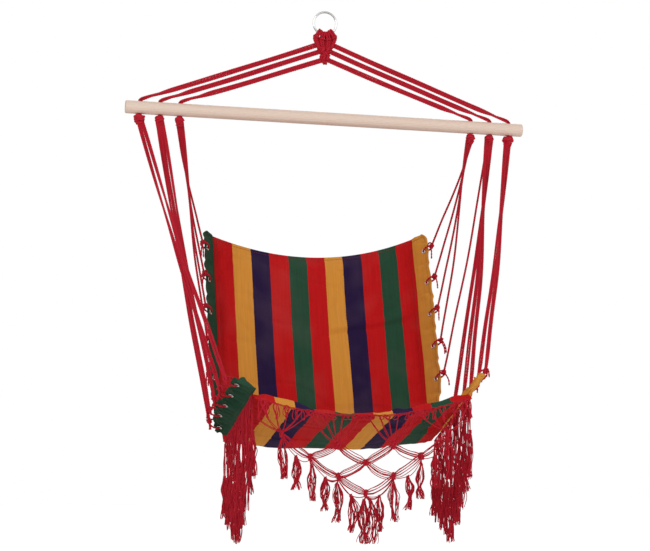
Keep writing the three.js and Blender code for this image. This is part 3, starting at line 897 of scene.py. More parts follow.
# Stage, ring, bar and ropes
CAMERA_PLACE = (-0.8794, -4.5243, -0.956)
CAMERA_LIFT = 3.764
CAMERA_ASIDE = 11
LAMPS_MEET = Vector((0, 0, -0.7))
LAMPS = (
    ("key lamp", (-1.7, -3.0, 0.9), 2.2, 44),
    ("fill lamp", (2.4, -2.4, 0.1), 2.6, 22),
    ("back lamp", (0.4, 2.4, 0.8), 2.4, 18),
)
WORLD_STRENGTH = 0.52


class HAMMOCK_OT_stage(bpy.types.Operator):
    """Camera, lamps and a plain pale backdrop"""

    bl_idname = "hammock.stage"
    bl_label = "Stage"

    def execute(self, context):
        stage = settings().stage
        lens = bpy.data.cameras.new("camera")
        lens.lens = stage.lens
        lens.sensor_fit = "HORIZONTAL"
        lens.sensor_width = 36
        lens.clip_end = 40
        camera = bpy.data.objects.new("camera", lens)
        context.collection.objects.link(camera)
        camera.location = CAMERA_PLACE
        camera.rotation_euler = (math.radians(90 + CAMERA_LIFT), 0, math.radians(-CAMERA_ASIDE))
        context.scene.camera = camera
        for name, place, size, power in LAMPS:
            light = bpy.data.lights.new(name, "AREA")
            light.size = size
            light.energy = power
            lamp = bpy.data.objects.new(name, light)
            lamp.location = place
            way = LAMPS_MEET - lamp.location
            lamp.rotation_euler = way.to_track_quat("-Z", "Y").to_euler()
            context.collection.objects.link(lamp)
        self.world(context)
        self.floor(stage.floor)
        context.scene.view_settings.view_transform = "Standard"
        return {"FINISHED"}

    @staticmethod
    def world(context):
        """Even soft light, seen as white by the camera and in the metal."""
        world = bpy.data.worlds.new("studio")
        context.scene.world = world
        world.use_nodes = True
        tree = world.node_tree
        light = tree.nodes["Background"]
        seen = tree.nodes.new("ShaderNodeBackground")
        for node, strength in ((light, WORLD_STRENGTH), (seen, 1)):
            node.inputs[0].default_value = (1, 1, 1, 1)
            node.inputs[1].default_value = strength
        way = tree.nodes.new("ShaderNodeLightPath")
        either = tree.nodes.new("ShaderNodeMath")
        either.operation = "MAXIMUM"
        blend = tree.nodes.new("ShaderNodeMixShader")
        for output, socket in (
            (way.outputs["Is Camera Ray"], either.inputs[0]),
            (way.outputs["Is Glossy Ray"], either.inputs[1]),
            (either.outputs[0], blend.inputs[0]),
            (light.outputs[0], blend.inputs[1]),
            (seen.outputs[0], blend.inputs[2]),
            (blend.outputs[0], tree.nodes["World Output"].inputs[0]),
        ):
            tree.links.new(output, socket)

    @staticmethod
    def floor(drop):
        """A pale floor well below the tassels."""
        bm = bmesh.new()
        low = Matrix.Translation((0, 0, -drop))
        bmesh.ops.create_grid(bm, x_segments=2, y_segments=2, size=9, matrix=low)
        floor = from_bmesh("floor", bm, None, smooth=False)
        paint = Shader("floor paint", Roughness=0.9)
        grain = paint.noise(paint.places(), 3, 2)
        paint.set("Base Color", paint.mix(grain * 0.5, (0.93, 0.93, 0.93), (0.96, 0.96, 0.96)))
        way = paint.node("ShaderNodeLightPath", {}, {}, "Is Camera Ray")
        paint.set("Emission Color", paint.mix(way, (0, 0, 0), (1, 1, 1)))
        paint.main.inputs["Emission Strength"].default_value = 0.55
        floor.data.materials.append(paint.material)


WELD_REACH = 0.0052


class HAMMOCK_OT_ring(bpy.types.Operator):
    """The steel ring at the very top"""

    bl_idname = "hammock.ring"
    bl_label = "Ring"

    def execute(self, context):
        bm = bmesh.new()
        upright = Matrix.Translation((RING_RADIUS, 0, 0)) @ Matrix.Rotation(math.pi / 2, 4, "X")
        bmesh.ops.create_circle(bm, segments=18, radius=WIRE_RADIUS, matrix=upright)
        spin_round(bm, (0, 0, 1), 96)
        weld = Vector((RING_RADIUS, 0, 0))
        for vert in bm.verts:
            near = max(0.0, 1 - (vert.co - weld).length / WELD_REACH)
            middle = vert.co.copy()
            middle.z = 0
            middle = middle.normalized() * RING_RADIUS
            vert.co = middle + (vert.co - middle) * (1 + 0.10 * ease(near * 1.4))
        place = Matrix.Translation(RING_CENTRE) @ Matrix.Rotation(math.radians(200), 4, "Y")
        bmesh.ops.transform(bm, matrix=place @ Matrix.Rotation(math.pi / 2, 4, "X"), verts=bm.verts[:])
        settle(from_bmesh("ring", bm, "steel"), "ring", "steel", "hanging_ring")
        return {"FINISHED"}


MOUTH_BALL = 0.0068
MOUTH_OFF = 0.0012


class HAMMOCK_OT_bar(bpy.types.Operator):
    """The turned spreader bar with its rope holes"""

    bl_idname = "hammock.bar"
    bl_label = "Spreader bar"

    def execute(self, context):
        half = BAR_LENGTH / 2
        edge = settings().wood.edge
        profile = [(-half, 0.0), (-half, BAR_RADIUS - edge)]
        for i in range(1, 5):
            turn = math.pi / 8 * i
            profile.append((edge - half - edge * math.cos(turn), BAR_RADIUS - edge + edge * math.sin(turn)))
        profile += [(mix(-half, half, i / 24), BAR_RADIUS) for i in range(1, 24)]
        profile += [(-along, radius) for along, radius in reversed(profile[:6])]
        bm = bmesh.new()
        outline(bm, [(along, 0, radius) for along, radius in profile])
        spin_round(bm, (1, 0, 0), 64)
        bmesh.ops.remove_doubles(bm, verts=bm.verts[:], dist=1e-6)
        bar = from_bmesh("bar", bm, "beech")
        drill = from_bmesh("drill", self.drills(), None)
        modify(bar, "BOOLEAN", object=drill, operation="DIFFERENCE", solver="EXACT", use_self=True)
        applied(bar)
        bpy.data.objects.remove(drill)
        bar.data.materials.clear()
        bar.data.materials.append(finish_of("beech"))
        straight = points_of(bar.data)
        add_attribute(bar.data, "lay", straight)
        bar.data.transform(Matrix.Translation(BAR_CENTRE) @ Matrix.Rotation(BAR_TILT, 4, "Y"))
        bar.data.set_sharp_from_angle(angle=math.radians(35))
        settle(bar, "rig", "beech", "spreader_bar")
        return {"FINISHED"}

    @staticmethod
    def drills():
        """What is cut from the bar: the holes, and a ball at each mouth that rounds its rim."""
        bm = bmesh.new()
        for place in (sign * hole for hole in HOLE_PLACES for sign in (-1, 1)):
            bmesh.ops.create_cone(
                bm, cap_ends=True, segments=28, radius1=HOLE_RADIUS, radius2=HOLE_RADIUS,
                depth=0.05, matrix=Matrix.Translation((place, 0, 0)),
            )
            for end in (-1, 1):
                mouth = Matrix.Translation((place, 0, end * (BAR_RADIUS + MOUTH_OFF)))
                bmesh.ops.create_uvsphere(
                    bm, u_segments=24, v_segments=10, radius=MOUTH_BALL, matrix=mouth
                )
        return bm


CORE_CORDS = 6
CORE_PITCH = 0.0056


def squarer(value):
    """A sine or cosine that stays long near its ends, so a ring that is drawn with it turns boxy."""
    return math.copysign(abs(value) ** 0.7, value)


class HAMMOCK_OT_crown(bpy.types.Operator):
    """Hitches on the ring and the knotted crown below them"""

    bl_idname = "hammock.crown"
    bl_label = "Crown knot"

    def execute(self, context):
        dia = settings().cords.rope_dia
        pieces = []
        for i in range(4):
            turn = (i - 1.5) * HITCH_PITCH / RING_RADIUS
            out = Vector((math.sin(turn), 0, -math.cos(turn)))
            along = Vector((math.cos(turn), 0, math.sin(turn)))
            wire = RING_CENTRE + out * RING_RADIUS
            round_wire = WIRE_RADIUS + dia / 2 + (0.0024 if i in (0, 3) else 0.0007)
            for j, side in enumerate((-1, 1)):
                pieces.append(self.hitch(wire, out, along * side * dia * 0.53, round_wire, dia, i * 2 + j))
            pieces.append(self.crossbar(wire + out * 0.0125, out, along, dia, i))
        for i in range(CORE_CORDS):
            x = (i - (CORE_CORDS - 1) / 2) * CORE_PITCH
            points = [below_wire(x * mix(1.25, 0.62, t), mix(0.006, 0.050, t)) for t in (0, 0.3, 0.7, 1)]
            pieces.append(twisted_cord("crown part", Route(points), dia * 1.5, plies=3))
        for row in ("upper", "lower"):
            width = CROWN_WIDTHS[row] / 2 + dia * 0.8
            for j, sign in enumerate((-1, 1)):
                x = sign * (CROWN_WIDTHS[row] - width) / 2
                for y in (-0.0030, 0.0030):
                    centre = below_wire(x, CROWN_DROPS[row] + 0.002, y)
                    spin = 0.6 * j + (2.1 if y > 0 else 0.2) + (0.5 if row == "lower" else 0)
                    pieces.append(self.knot(centre, width, 0.0205, (0.12 * sign, 0, 1), spin))
        tip = below_wire(0, CROWN_DROPS["tip"] - 0.0078)
        pieces.append(self.knot(tip, 0.018, 0.0150, (0, 0.3, 1), 0.4))
        pieces.append(self.knot(below_wire(0, 0.0475), 0.023, 0.020, (1, 0, 0.2), 1.1))
        settle(joined("crown", pieces), "rig", "cord", "crown_knot")
        return {"FINISHED"}

    @staticmethod
    def knot(centre, width, height, axis, spin):
        """One of the crown's knots, of fat cord."""
        return tight_knot("crown part", centre, width, height, axis, 3, spin, fat=0.42)

    @staticmethod
    def hitch(wire, out, aside, reach, dia, seed):
        """One turn of cord over the wire, with its two ends running down to the knots."""
        y = Vector((0, 1, 0))
        foot_x = (wire.x + aside.x) * CROWN_WIDTHS["upper"] / CROWN_WIDTHS["band"] * 1.15
        foot = {side: below_wire(foot_x, CROWN_DROPS["upper"] - 0.001, side * 0.0040) for side in (-1, 1)}
        points = []
        for side in (-1, 1):
            arm = [
                foot[side],
                mix(foot[side], wire + out * 0.019 + aside + y * side * 0.0050, 0.55),
                wire + out * 0.0165 + aside + y * side * 0.0050,
                wire + out * 0.006 + aside * 1.1 + y * side * reach,
                wire - out * 0.0005 + aside * 1.1 + y * side * reach,
                wire - out * reach * 0.72 + aside + y * side * reach * 0.72,
            ]
            points += arm if side < 0 else [wire - out * reach + aside, *reversed(arm)]
        return twisted_cord("crown part", Route(points), dia * 1.22, wander(seed, 0.0001), 3)

    @staticmethod
    def crossbar(centre, out, along, dia, seed):
        """The turn of a hitch that lies across its two cords."""
        points = []
        for i in range(LOOP_POINTS):
            turn = 2 * math.pi * i / LOOP_POINTS
            wide = along * (0.0056 * squarer(math.cos(turn)))
            deep = Vector((0, 1, 0)) * (0.0090 * squarer(math.sin(turn)))
            points.append(centre + wide + deep + out * 0.0009 * math.sin(turn + seed))
        return twisted_cord("crown part", Route(points, closed=True), dia * 1.15, plies=3, closed=True)


PACKED_REACH = 0.00285
STACK_SHARE = 0.82
GATHER_START = 0.085
GATHER_LENGTH = 0.088


class HAMMOCK_OT_ropes(bpy.types.Operator):
    """Bands of cord from the crown through the bar, and the stopper knots below it"""

    bl_idname = "hammock.ropes"
    bl_label = "Upper ropes"

    def execute(self, context):
        for side, sign in SIDES:
            for i in range(3):
                self.rope(side, sign, i)
        return {"FINISHED"}

    @staticmethod
    def rope(side, sign, i):
        """One band, its run through the bar and its knot."""
        dia = settings().cords.rope_dia
        reach, drop = ROPE_STARTS[i]
        start = below_wire(sign * reach, drop)
        mouth = on_bar(sign * HOLE_PLACES[i]) - BAR_DOWN * (BAR_RADIUS + 0.75 * dia)
        way = (mouth - start).normalized()
        stopper = stopper_centre(sign, i)
        hole = on_bar(sign * HOLE_PLACES[i])
        sag = Vector((0, 0, -0.0016))
        points = [
            start - way * 0.006,
            *(mix(start, mouth, t) + sag * 4 * t * (1 - t) for t in (0.2, 0.4, 0.6, 0.8)),
            mouth - way * 0.016,
            mouth - way * 0.003 + BAR_DOWN * 0.0012,
            hole - BAR_DOWN * BAR_RADIUS,
            hole + BAR_DOWN * BAR_RADIUS,
            stopper,
        ]
        route = Route(points)
        bend = route.length - (stopper - mouth).length - 0.004
        pieces = []
        for k in range(3):
            turn = 2 * math.pi * k / 3 + 0.4
            packed = np.array((PACKED_REACH * math.cos(turn), PACKED_REACH * math.sin(turn)))
            stacked = np.array(((k - 1) * dia * STACK_SHARE, 0.0))
            drift = wander(i * 3 + k + 20 * sign, 0.00035, 0.09)

            def offset(distances, packed=packed, stacked=stacked, drift=drift):
                share = smooth(np.clip((distances - bend + GATHER_START) / GATHER_LENGTH, 0, 1)[:, None])
                return stacked * (1 - share) + packed * share + drift(distances) * (1 - share)

            pieces.append(twisted_cord("rope part", route, dia, offset, 3))
        width = STOPPER_WIDTHS[i]
        lean = BAR_DOWN + BAR_AXIS * (0.16 * math.sin(i * 2.3 + sign))
        spin = 0.9 * i + sign
        for rise, share, turned in ((0.0034, 1.2, 0.0), (0.0030, 1.14, 1.1), (-0.0045, 0.95, 2.0)):
            pieces.append(
                tight_knot(
                    "rope part", stopper - BAR_DOWN * rise, width * share, STOPPER_HEIGHT * 0.84,
                    lean, 3, spin + turned, fat=0.40,
                )
            )
        settle(joined(f"rope_{side}_{i + 1}", pieces), "rig", "cord", f"upper_rope_{side}_{i + 1}")


# Cloth
class HAMMOCK_OT_eyelets(bpy.types.Operator):
    """Pressed metal eyelets in the flaps"""

    bl_idname = "hammock.eyelets"
    bl_label = "Eyelets"

    def execute(self, context):
        under = settings().cloth.flap_cloth / 2 + 0.0001
        for part, side, sign in FLAPS:
            flap = Flap(part, side, sign)
            for k, (centre, normal) in enumerate(flap.eyelets()):
                piece = from_bmesh(f"eyelet_{part}_{side}_{k + 1}", self.pressed(under), "nickel")
                piece.data.transform(Matrix.Translation(centre) @ turned_to(normal).to_4x4())
                settle(piece, flap.part, "nickel", f"{part}_eyelet_{side}_{k + 1}")
        return {"FINISHED"}

    @staticmethod
    def pressed(under):
        """A flanged tube: domed on the front, rolled on the rear."""
        front = [(0.0000, 0.0009), (0.25, 0.0013), (0.55, 0.0012), (0.85, 0.0007), (1.0, 0.0001)]
        profile = [(mix(EYELET_BORE, EYELET_RADIUS, s), under + rise) for s, rise in front]
        rear = [(0.93, 0.0), (0.95, 0.0005), (0.7, 0.0009), (0.35, 0.0010), (0.0, 0.0007)]
        profile += [(EYELET_BORE + 0.0004, under - 0.0002), (EYELET_BORE + 0.0004, -under)]
        profile += [(mix(EYELET_BORE, EYELET_RADIUS, s), -under - rise) for s, rise in rear]
        bm = bmesh.new()
        outline(bm, [(radius, 0, height) for radius, height in profile], closed=True)
        spin_round(bm, (0, 0, 1), 28)
        return bm


PUFF_PRESSURE = 3.2
PUFF_LIMIT = 0.0042
PUFF_FRAMES = 20


def puffed(piece, held):
    """Blows a closed cloth shell up with the held points fixed, and keeps each point within a limit."""
    start = points_of(piece.data)
    group = piece.vertex_groups.new(name="held")
    group.add([int(i) for i in held], 1.0, "REPLACE")
    cloth = modify(piece, "CLOTH")
    cloth.settings.quality = 6
    cloth.settings.mass = 0.25
    cloth.settings.tension_stiffness = 18
    cloth.settings.compression_stiffness = 18
    cloth.settings.shear_stiffness = 6
    cloth.settings.bending_stiffness = 0.4
    cloth.settings.shrink_min = -0.035
    cloth.settings.use_pressure = True
    cloth.settings.uniform_pressure_force = PUFF_PRESSURE
    cloth.settings.vertex_group_mass = "held"
    cloth.settings.effector_weights.gravity = 0
    cloth.collision_settings.use_collision = False
    scene = bpy.context.scene
    for number in range(1, PUFF_FRAMES + 1):
        scene.frame_set(number)
    grown = worked_out(piece)
    moved = points_of(grown) - start
    bpy.data.meshes.remove(grown)
    piece.modifiers.clear()
    piece.vertex_groups.clear()
    scene.frame_set(1)
    far = np.linalg.norm(moved, axis=1, keepdims=True)
    kept = PUFF_LIMIT * np.tanh(far / PUFF_LIMIT) / np.maximum(far, 1e-9)
    move_points(piece.data, start + moved * kept)


def cloth_shell(name, surface, half_at):
    """A closed shell of two cloth faces sewn together round their border, in a grid."""
    bm = bmesh.new()
    bmesh.ops.create_grid(bm, x_segments=96, y_segments=88, size=1)
    top = bmesh.ops.extrude_face_region(bm, geom=bm.faces[:], use_keep_orig=True)["geom"]
    for vert in top:
        if isinstance(vert, bmesh.types.BMVert):
            vert.co.z = 1
    piece = from_bmesh(name, bm, "striped_cloth")
    flat = points_of(piece.data)
    places = []
    for across, along, face in flat:
        v = (along + 1) / 2
        du = surface(across + 0.01, v) - surface(across - 0.01, v)
        dv = surface(across, v + 0.01) - surface(across, v - 0.01)
        out = du.cross(dv).normalized()
        sense = 1 if face > 0.5 else -1
        places.append(surface(across, v) + out * sense * half_at(across, v))
    move_points(piece.data, places)
    return piece, flat


PAD_RIM = 0.0014
PAD_SWELL = 0.0042
PAD_ROUNDING = 0.030
PAD_HELD = 0.0135
CREASE_HEIGHT = 0.590
CREASE_MIDDLE = 0.45
HEM_START = 0.90
CURL_START = 0.925


def long_crease(across, v):
    """The back's one long crease: a groove that runs to the right, with a soft ridge over it."""
    line = v - CREASE_HEIGHT - 0.035 * (across - CREASE_MIDDLE) - 0.010 * math.sin(across * 5)
    length_on = ease((across + 0.05) * 4) * ease((0.97 - across) * 6)
    groove = math.exp(-((line * BACK_HEIGHT / 0.007) ** 2))
    ridge = math.exp(-(((line - 0.030) * BACK_HEIGHT / 0.012) ** 2))
    return length_on * (0.0036 * ridge - 0.0056 * groove)


def hem_drop(across, v, underside):
    """How far the seat's front hem goes down: in scallops, rolled over, and curled underneath."""
    phase = 2 * math.pi * across * SEAT_CHORD / 2 / HEM_SCALLOP + 1.3 * math.sin(across * 4)
    drop = 0.0030 * max(0.0, v - HEM_START) / (1 - HEM_START) * math.cos(phase)
    drop += hem_roll(across) * max(0.0, (v - 1 + HEM_ROLL) / HEM_ROLL) ** 2
    if underside:
        share = min(1.0, max(0.0, (v - CURL_START) / (1 - CURL_START)))
        drop += HEM_CURL * math.sin(math.pi * share) ** 2
    return drop


class HAMMOCK_OT_pads(bpy.types.Operator):
    """The padded seat and back in striped cloth"""

    bl_idname = "hammock.pads"
    bl_label = "Seat and back pads"

    def execute(self, context):
        self.pad("back", back_at, BACK_HEIGHT)
        self.pad("seat", seat_at, SEAT_DEPTH)
        return {"FINISHED"}

    def pad(self, part, surface, deep):
        """One pad, filled and then creased."""
        wide = PAD_WIDTH

        def half_at(across, along):
            rim = min((1 - abs(across)) * wide / 2, along * deep, (1 - along) * deep)
            return PAD_RIM + PAD_SWELL * ease(rim / PAD_ROUNDING) ** 0.7

        piece, flat = cloth_shell(f"{part}_cushion", surface, half_at)
        rim = np.minimum((1 - np.abs(flat[:, 0])) * wide / 2, (1 - np.abs(flat[:, 1])) * deep / 2)
        puffed(piece, np.flatnonzero(rim < PAD_HELD))
        self.crease(piece, part, flat)
        weave = np.zeros((len(flat), 3))
        weave[:, 0] = (flat[:, 0] + 1) / 2 * wide
        weave[:, 1] = (flat[:, 1] + 1) / 2 * deep
        side = (1 - np.abs(flat[:, 0])) * wide < (1 - np.abs(flat[:, 1])) * deep
        weave[:, 2] = np.where(side, weave[:, 1], weave[:, 0])
        add_attribute(piece.data, "weave", weave)
        add_attribute(piece.data, "edge", rim)
        modify(piece, "SUBSURF", levels=1, render_levels=1)
        applied(piece)
        settle(piece, "fold" if part == "back" else part, "striped_cloth", f"{part}_pad")

    @staticmethod
    def crease(piece, part, flat):
        """Slow waves, drawn corners and a soft fold, as cloth that hangs from its edges has."""
        places = points_of(piece.data)
        out = np.array(BACK_OUT if part == "back" else SEAT_UP)
        for i, (across, along, face) in enumerate(flat):
            v = (along + 1) / 2
            rim = ease(min(1 - abs(across), (1 - abs(along))) * 7)
            wave = noise.noise(Vector((across * 2.3, v * 2.6, 4.0 if part == "back" else 9.0)))
            fine = noise.noise(Vector((across * 9.0, v * 3.0, 2.5)))
            creased = noise.noise(Vector((across * 1.7, v * 8.0 + across, 6.5)))
            shift = (0.0052 * wave + 0.0020 * fine - 0.0034 * max(0.0, 1 - abs(creased) * 7)) * rim
            pull = math.sin(math.pi * EYELETS * 1.15 * v + 0.8) * max(0.0, abs(across) - 0.80) / 0.20
            shift += 0.0016 * pull
            if part == "back":
                shift += long_crease(across, v) * rim
            else:
                shift -= hem_drop(across, v, face < 0.5)
            places[i] += out * shift
            if part == "back":
                joined_share = max(0.0, 1 - v / FOLD_REACH) ** 2
                places[i] += (seat_at(across, 0.016) - back_at(across, 0)) * joined_share
        move_points(piece.data, places)


class HAMMOCK_OT_flaps(bpy.types.Operator):
    """The laced cloth edges, with a turned hem and holes for the eyelets"""

    bl_idname = "hammock.flaps"
    bl_label = "Flaps"

    def execute(self, context):
        for part, side, sign in FLAPS:
            self.flap(Flap(part, side, sign), "green_cloth" if sign < 0 else "ochre_cloth")
        return {"FINISHED"}

    def flap(self, flap, finish):
        """One flap."""
        bm = bmesh.new()
        bmesh.ops.create_grid(bm, x_segments=28, y_segments=round(flap.length / 0.0021), size=1)
        centres = flap.eyelets()
        shares = {}
        for vert in bm.verts:
            a = (vert.co.x + 1) / 2
            b = (vert.co.y + 1) / 2
            vert.co = self.drawn(flap, a, b)
            shares[vert.index] = (a, b)
        layer = bm.verts.layers.float_vector.new("weave")
        edge = bm.verts.layers.float.new("edge")
        area = sum(f.calc_area() for f in bm.faces)
        for vert in bm.verts:
            a, b = shares[vert.index]
            wide = flap.width(b)
            rim = min((1 - a) * wide, b * flap.length, (1 - b) * flap.length)
            run = b * flap.length if rim == (1 - a) * wide else a * wide
            vert[layer] = (a * wide, b * flap.length, run)
            vert[edge] = rim
        hole = EYELET_BORE + 0.0009
        inside = [f for f in bm.faces if min((f.calc_center_median() - c).length for c, _ in centres) < hole]
        bmesh.ops.delete(bm, geom=inside, context="FACES")
        for vert in bm.verts:
            if vert.is_boundary:
                centre, normal = min(centres, key=lambda found: (vert.co - found[0]).length)
                off = vert.co - centre
                if off.length < EYELET_CLEAR:
                    off -= normal * off.dot(normal)
                    vert.co = centre + off.normalized() * hole
        piece = from_bmesh(f"flap_{flap.part}_{flap.side}", bm, finish)
        thick = settings().cloth.flap_cloth * 0.86
        modify(piece, "SOLIDIFY", thickness=thick, offset=0.0, use_even_offset=False)
        applied(piece)
        mean = flap.width(0.5)
        max(flap.length, area / mean)
        settle(piece, flap.part, finish, f"{flap.part}_flap_{flap.side}")

    @staticmethod
    def drawn(flap, a, b):
        """A point of the flap with the small puckers that its lacing draws."""
        base = flap.at(a, b)
        along = flap.at(a, b + 0.01) - flap.at(a, b - 0.01)
        across = flap.at(a + 0.01, b) - flap.at(a - 0.01, b)
        normal = along.cross(across).normalized()
        free = flap.fold(b)
        run = b * flap.length
        own = flap.sign * 3.1 + (7 if flap.part == "back" else 0)
        pucker = noise.noise(Vector((a * 1.2, run * 46, own)))
        steps = (run - flap.first) / flap.step
        between = 0.5 - 0.5 * math.cos(2 * math.pi * steps)
        phase = 3 * math.pi * steps + 0.5 * a + 1.6 * pucker
        ripple = (0.9 - 2 * abs(math.sin(phase))) * (0.35 + 0.65 * a) * (0.35 + 0.65 * between)
        shift = (0.0050 * pucker * free + FLAP_PLEATS[flap.part] * ripple) * ease(a * 4)
        edge = 1 - 0.11 * ease((a - 0.3) * 1.6) * between * (0.8 + 0.2 * math.sin(run * 31 + 2))
        corner = max(0.0, 1 - (flap.length - run) / 0.020, 0.6 - run / 0.020)
        edge -= 0.30 * corner**2
        base = mix(flap.at(0, b), base, edge)
        tucked = 1 - ease(a / FLAP_TUCK_SHARE)
        return base + normal * shift - flap.outward * FLAP_TUCK * tucked


# Cords below the bar
# CAD node, stopper knot from the outermost, pad, eyelets from the fold, cords to each, led aside
CORD_PLANS = (
    ("back_cords", 2, "back", (4, 3, 2, 1), 1, False),
    ("back_lower_cord", 1, "back", (0,), 1, True),
    ("seat_rear_cords", 1, "seat", (0, 1, 2), 2, False),
    ("seat_front_cords", 0, "seat", (3, 4), 2, False),
)


class HAMMOCK_OT_cords(bpy.types.Operator):
    """Cords from the stopper knots to the eyelets, each with its tie knot and loop"""

    bl_idname = "hammock.cords"
    bl_label = "Seat cords"

    def execute(self, context):
        for side, sign in SIDES:
            for node, stopper, part, eyelets, doubled, aside in CORD_PLANS:
                self.bundle(f"{node}_{side}", sign, Flap(part, side, sign), stopper, eyelets, doubled, aside)
        return {"FINISHED"}

    def bundle(self, node, sign, flap, stopper, eyelets, doubled, aside):
        """The cords of one plan on one side."""
        places = flap.eyelets()
        ends = [places[k] for k in eyelets]
        mean = sum((centre for centre, _ in ends), Vector()) / len(ends)
        knot = stopper_centre(sign, stopper)
        lean = (mean - knot).normalized()
        if aside:
            lean = (lean + Vector((0, ASIDE_SHARE, 0))).normalized()
        drop = 0.0009 if aside else WHIP_DROPS[stopper]
        origin = knot + lean * (STOPPER_HEIGHT / 2 + drop)
        made = []
        for count, (end, k) in enumerate(zip(ends, eyelets)):
            tie, pieces = self.tied(origin, lean, flap, end, k, count, len(ends), doubled)
            if flap.part == "back":
                cord = joined(f"{node}_{count + 1}", pieces)
                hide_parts(node)
                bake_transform(cord)
            else:
                made += pieces
        if made:
            settle(joined(f"{node}_twisted", made), "seat", "cord", node)

    @staticmethod
    def tied(origin, lean, flap, end, k, count, total, doubled):
        """One cord, or a pair side by side, to one eyelet."""
        dia = settings().cords.cord_dia
        centre, normal = end
        seed = k + 7 * flap.sign + (40 if flap.part == "back" else 0) + total
        chance = random.Random(seed)
        pull = mix(flap.outward, (origin - centre).normalized(), 0.3)
        along = (pull - normal * pull.dot(normal)).normalized()
        tie = centre + along * (LOOP_LENGTH - LOOP_SEAT)
        away = Vector((1 if tie.x > CREASE.x else -1, 0, 0))
        middle = mix(origin, tie, 0.5) + away * 0.005
        route = Route([origin - lean * 0.004, origin + lean * 0.004, middle, mix(middle, tie, 0.6), tie])
        pieces = []
        for j in range(doubled):
            lane = count * doubled + j - (total * doubled - 1) / 2
            crowd = 0.80 if total * doubled < 6 else 0.58
            packed = np.array((lane * dia * crowd * flap.sign, 0.0022 * math.cos(math.pi * lane)))
            side = np.array(((j - (doubled - 1) / 2) * dia * 0.84, 0.0))
            drift = wander(seed + j, 0.0007, 0.11)

            def offset(distances, packed=packed, side=side, drift=drift):
                share = smooth(np.clip((distances - 0.06) / (0.55 * route.length), 0, 1)[:, None])
                settled = np.clip((route.length - distances) / 0.05, 0, 1)[:, None]
                loose = side * (0.45 + 0.55 * settled)
                return packed * (1 - share) + loose * share + drift(distances) * share * settled

            pieces.append(twisted_cord("cord part", route, dia, offset, 3))
        half = LOOP_LENGTH / 2
        middle = centre + along * (half - LOOP_SEAT)
        loop = []
        for i in range(LOOP_POINTS):
            turn = 2 * math.pi * i / LOOP_POINTS
            high = LOOP_HEIGHT / 2 * math.sin(turn) * (1.0 - 0.25 * math.cos(turn))
            loop.append(middle - along * half * math.cos(turn) + normal * high)
        pieces.append(twisted_cord("cord part", Route(loop, closed=True), dia * 0.9, closed=True))
        knot_axis = (along + (origin - tie).normalized() * 0.5).normalized()
        width = 0.0145 + 0.0015 * (doubled - 1)
        pieces.append(tight_knot("cord part", tie, width, 0.0165, knot_axis, 2, seed * 1.3))
        for _ in range(1 + doubled):
            aside = knot_axis.cross(normal) * chance.choice((-1, 1)) + normal * chance.uniform(-0.6, 0.6)
            side_way = aside.normalized()
            tail = chance.uniform(0.014, 0.026)
            points = [
                tie,
                tie + side_way * 0.008 + knot_axis * chance.uniform(-0.003, 0.004),
                tie + side_way * (0.006 + tail * 0.5) - UP * (tail * 0.35),
                tie + side_way * (0.006 + tail * 0.6) - UP * (tail * 0.9),
            ]
            pieces.append(twisted_cord("cord part", Route(points), dia * 0.72))
        return tie, pieces


# Hem loops and fringes
SEAT_HEM = 0.0055
HEM_MIDDLE = seat_at(0, 1)
HEAD_FRONT = Vector(
    (CREASE.x, (HEM_MIDDLE + SEAT_FORWARD * 0.002).y, HEM_MIDDLE.z - SEAT_HEM - HEM_DROP)
)
HEM_REACH = 0.236
SLACK_LOOPS = 22
SLACK_LOOP_PITCH = 0.0215
BAND_WIDTH = 0.0175
TASSEL_WIDTHS = {"middle": 0.0150, "front": 0.0128, "side": 0.0128}
MORE_THREADS = {"middle": 12, "front": 4, "side": -3}
BINDING_WIDTH = 0.0056
BINDING_STEPS = 8
CURTAIN_THREADS = 64
HEADING_STEPS = 64


def any_phase(chance):
    """An angle anywhere round a turn."""
    return chance.uniform(0, 6.3)


def kept_within(limit, value):
    """A value that goes no further than the limit, either way."""
    return max(-limit, min(limit, value))


class Net:
    """Where a fringe's knots and tassels are, on its hanging plane."""

    def __init__(self, middle, along, sizes):
        self.middle, self.along = middle, along
        self.pitch, self.wing, self.rows = sizes["pitch"], sizes["wing"], sizes["rows"]
        self.lift, self.net, self.net_end = sizes["lift"], sizes["net"], sizes["net_end"]
        self.depth, self.end = sizes["depth"], sizes["end"]
        self.out = along.cross(UP).normalized()

    def at(self, column, drop, out=0.0):
        """A point of the plane, or this far in front of it."""
        return self.middle + self.along * (column * self.pitch) - UP * drop + self.out * out

    def head(self, place):
        """Where a thread leaves the heading, a little higher or lower from one to the next."""
        return self.at(place, 0.0015 + 0.0045 * math.sin(place * 9.1))

    def share(self, column):
        """How far out a column is, from 0 in the middle to 1 at the last one."""
        return min(1.0, abs(column) / self.wing)

    def raised(self, column):
        """How far a column rides up with the hem."""
        return self.lift * self.share(column) ** 2

    def reach(self, column):
        """How deep the net goes at a column."""
        return mix(self.net, self.net_end, self.share(column))

    def held(self, column, row):
        """Whether a knot can be there."""
        return row < len(self.rows) and abs(column) <= self.wing and self.rows[row] <= self.reach(column)

    def knot(self, column, row):
        """The middle of a knot."""
        return self.at(column, self.rows[row] - (self.raised(column) if row else 0))

    def knots(self):
        """The columns and rows that have a knot, the heading included."""
        columns = range(-self.wing, self.wing + 1)
        spots = [(c, r) for r in range(len(self.rows)) for c in columns]
        return [(c, r) for c, r in spots if (r + c) % 2 == 0 and self.held(c, r)]

    def lowest(self, column):
        """The lowest knot of a whole column."""
        return self.knot(column, max([r for c, r in self.knots() if c == column], default=0))


def front_net():
    """The net below the seat's front hem."""
    return Net(HEAD_FRONT, Vector((1, 0, 0)), FRONT_NET)


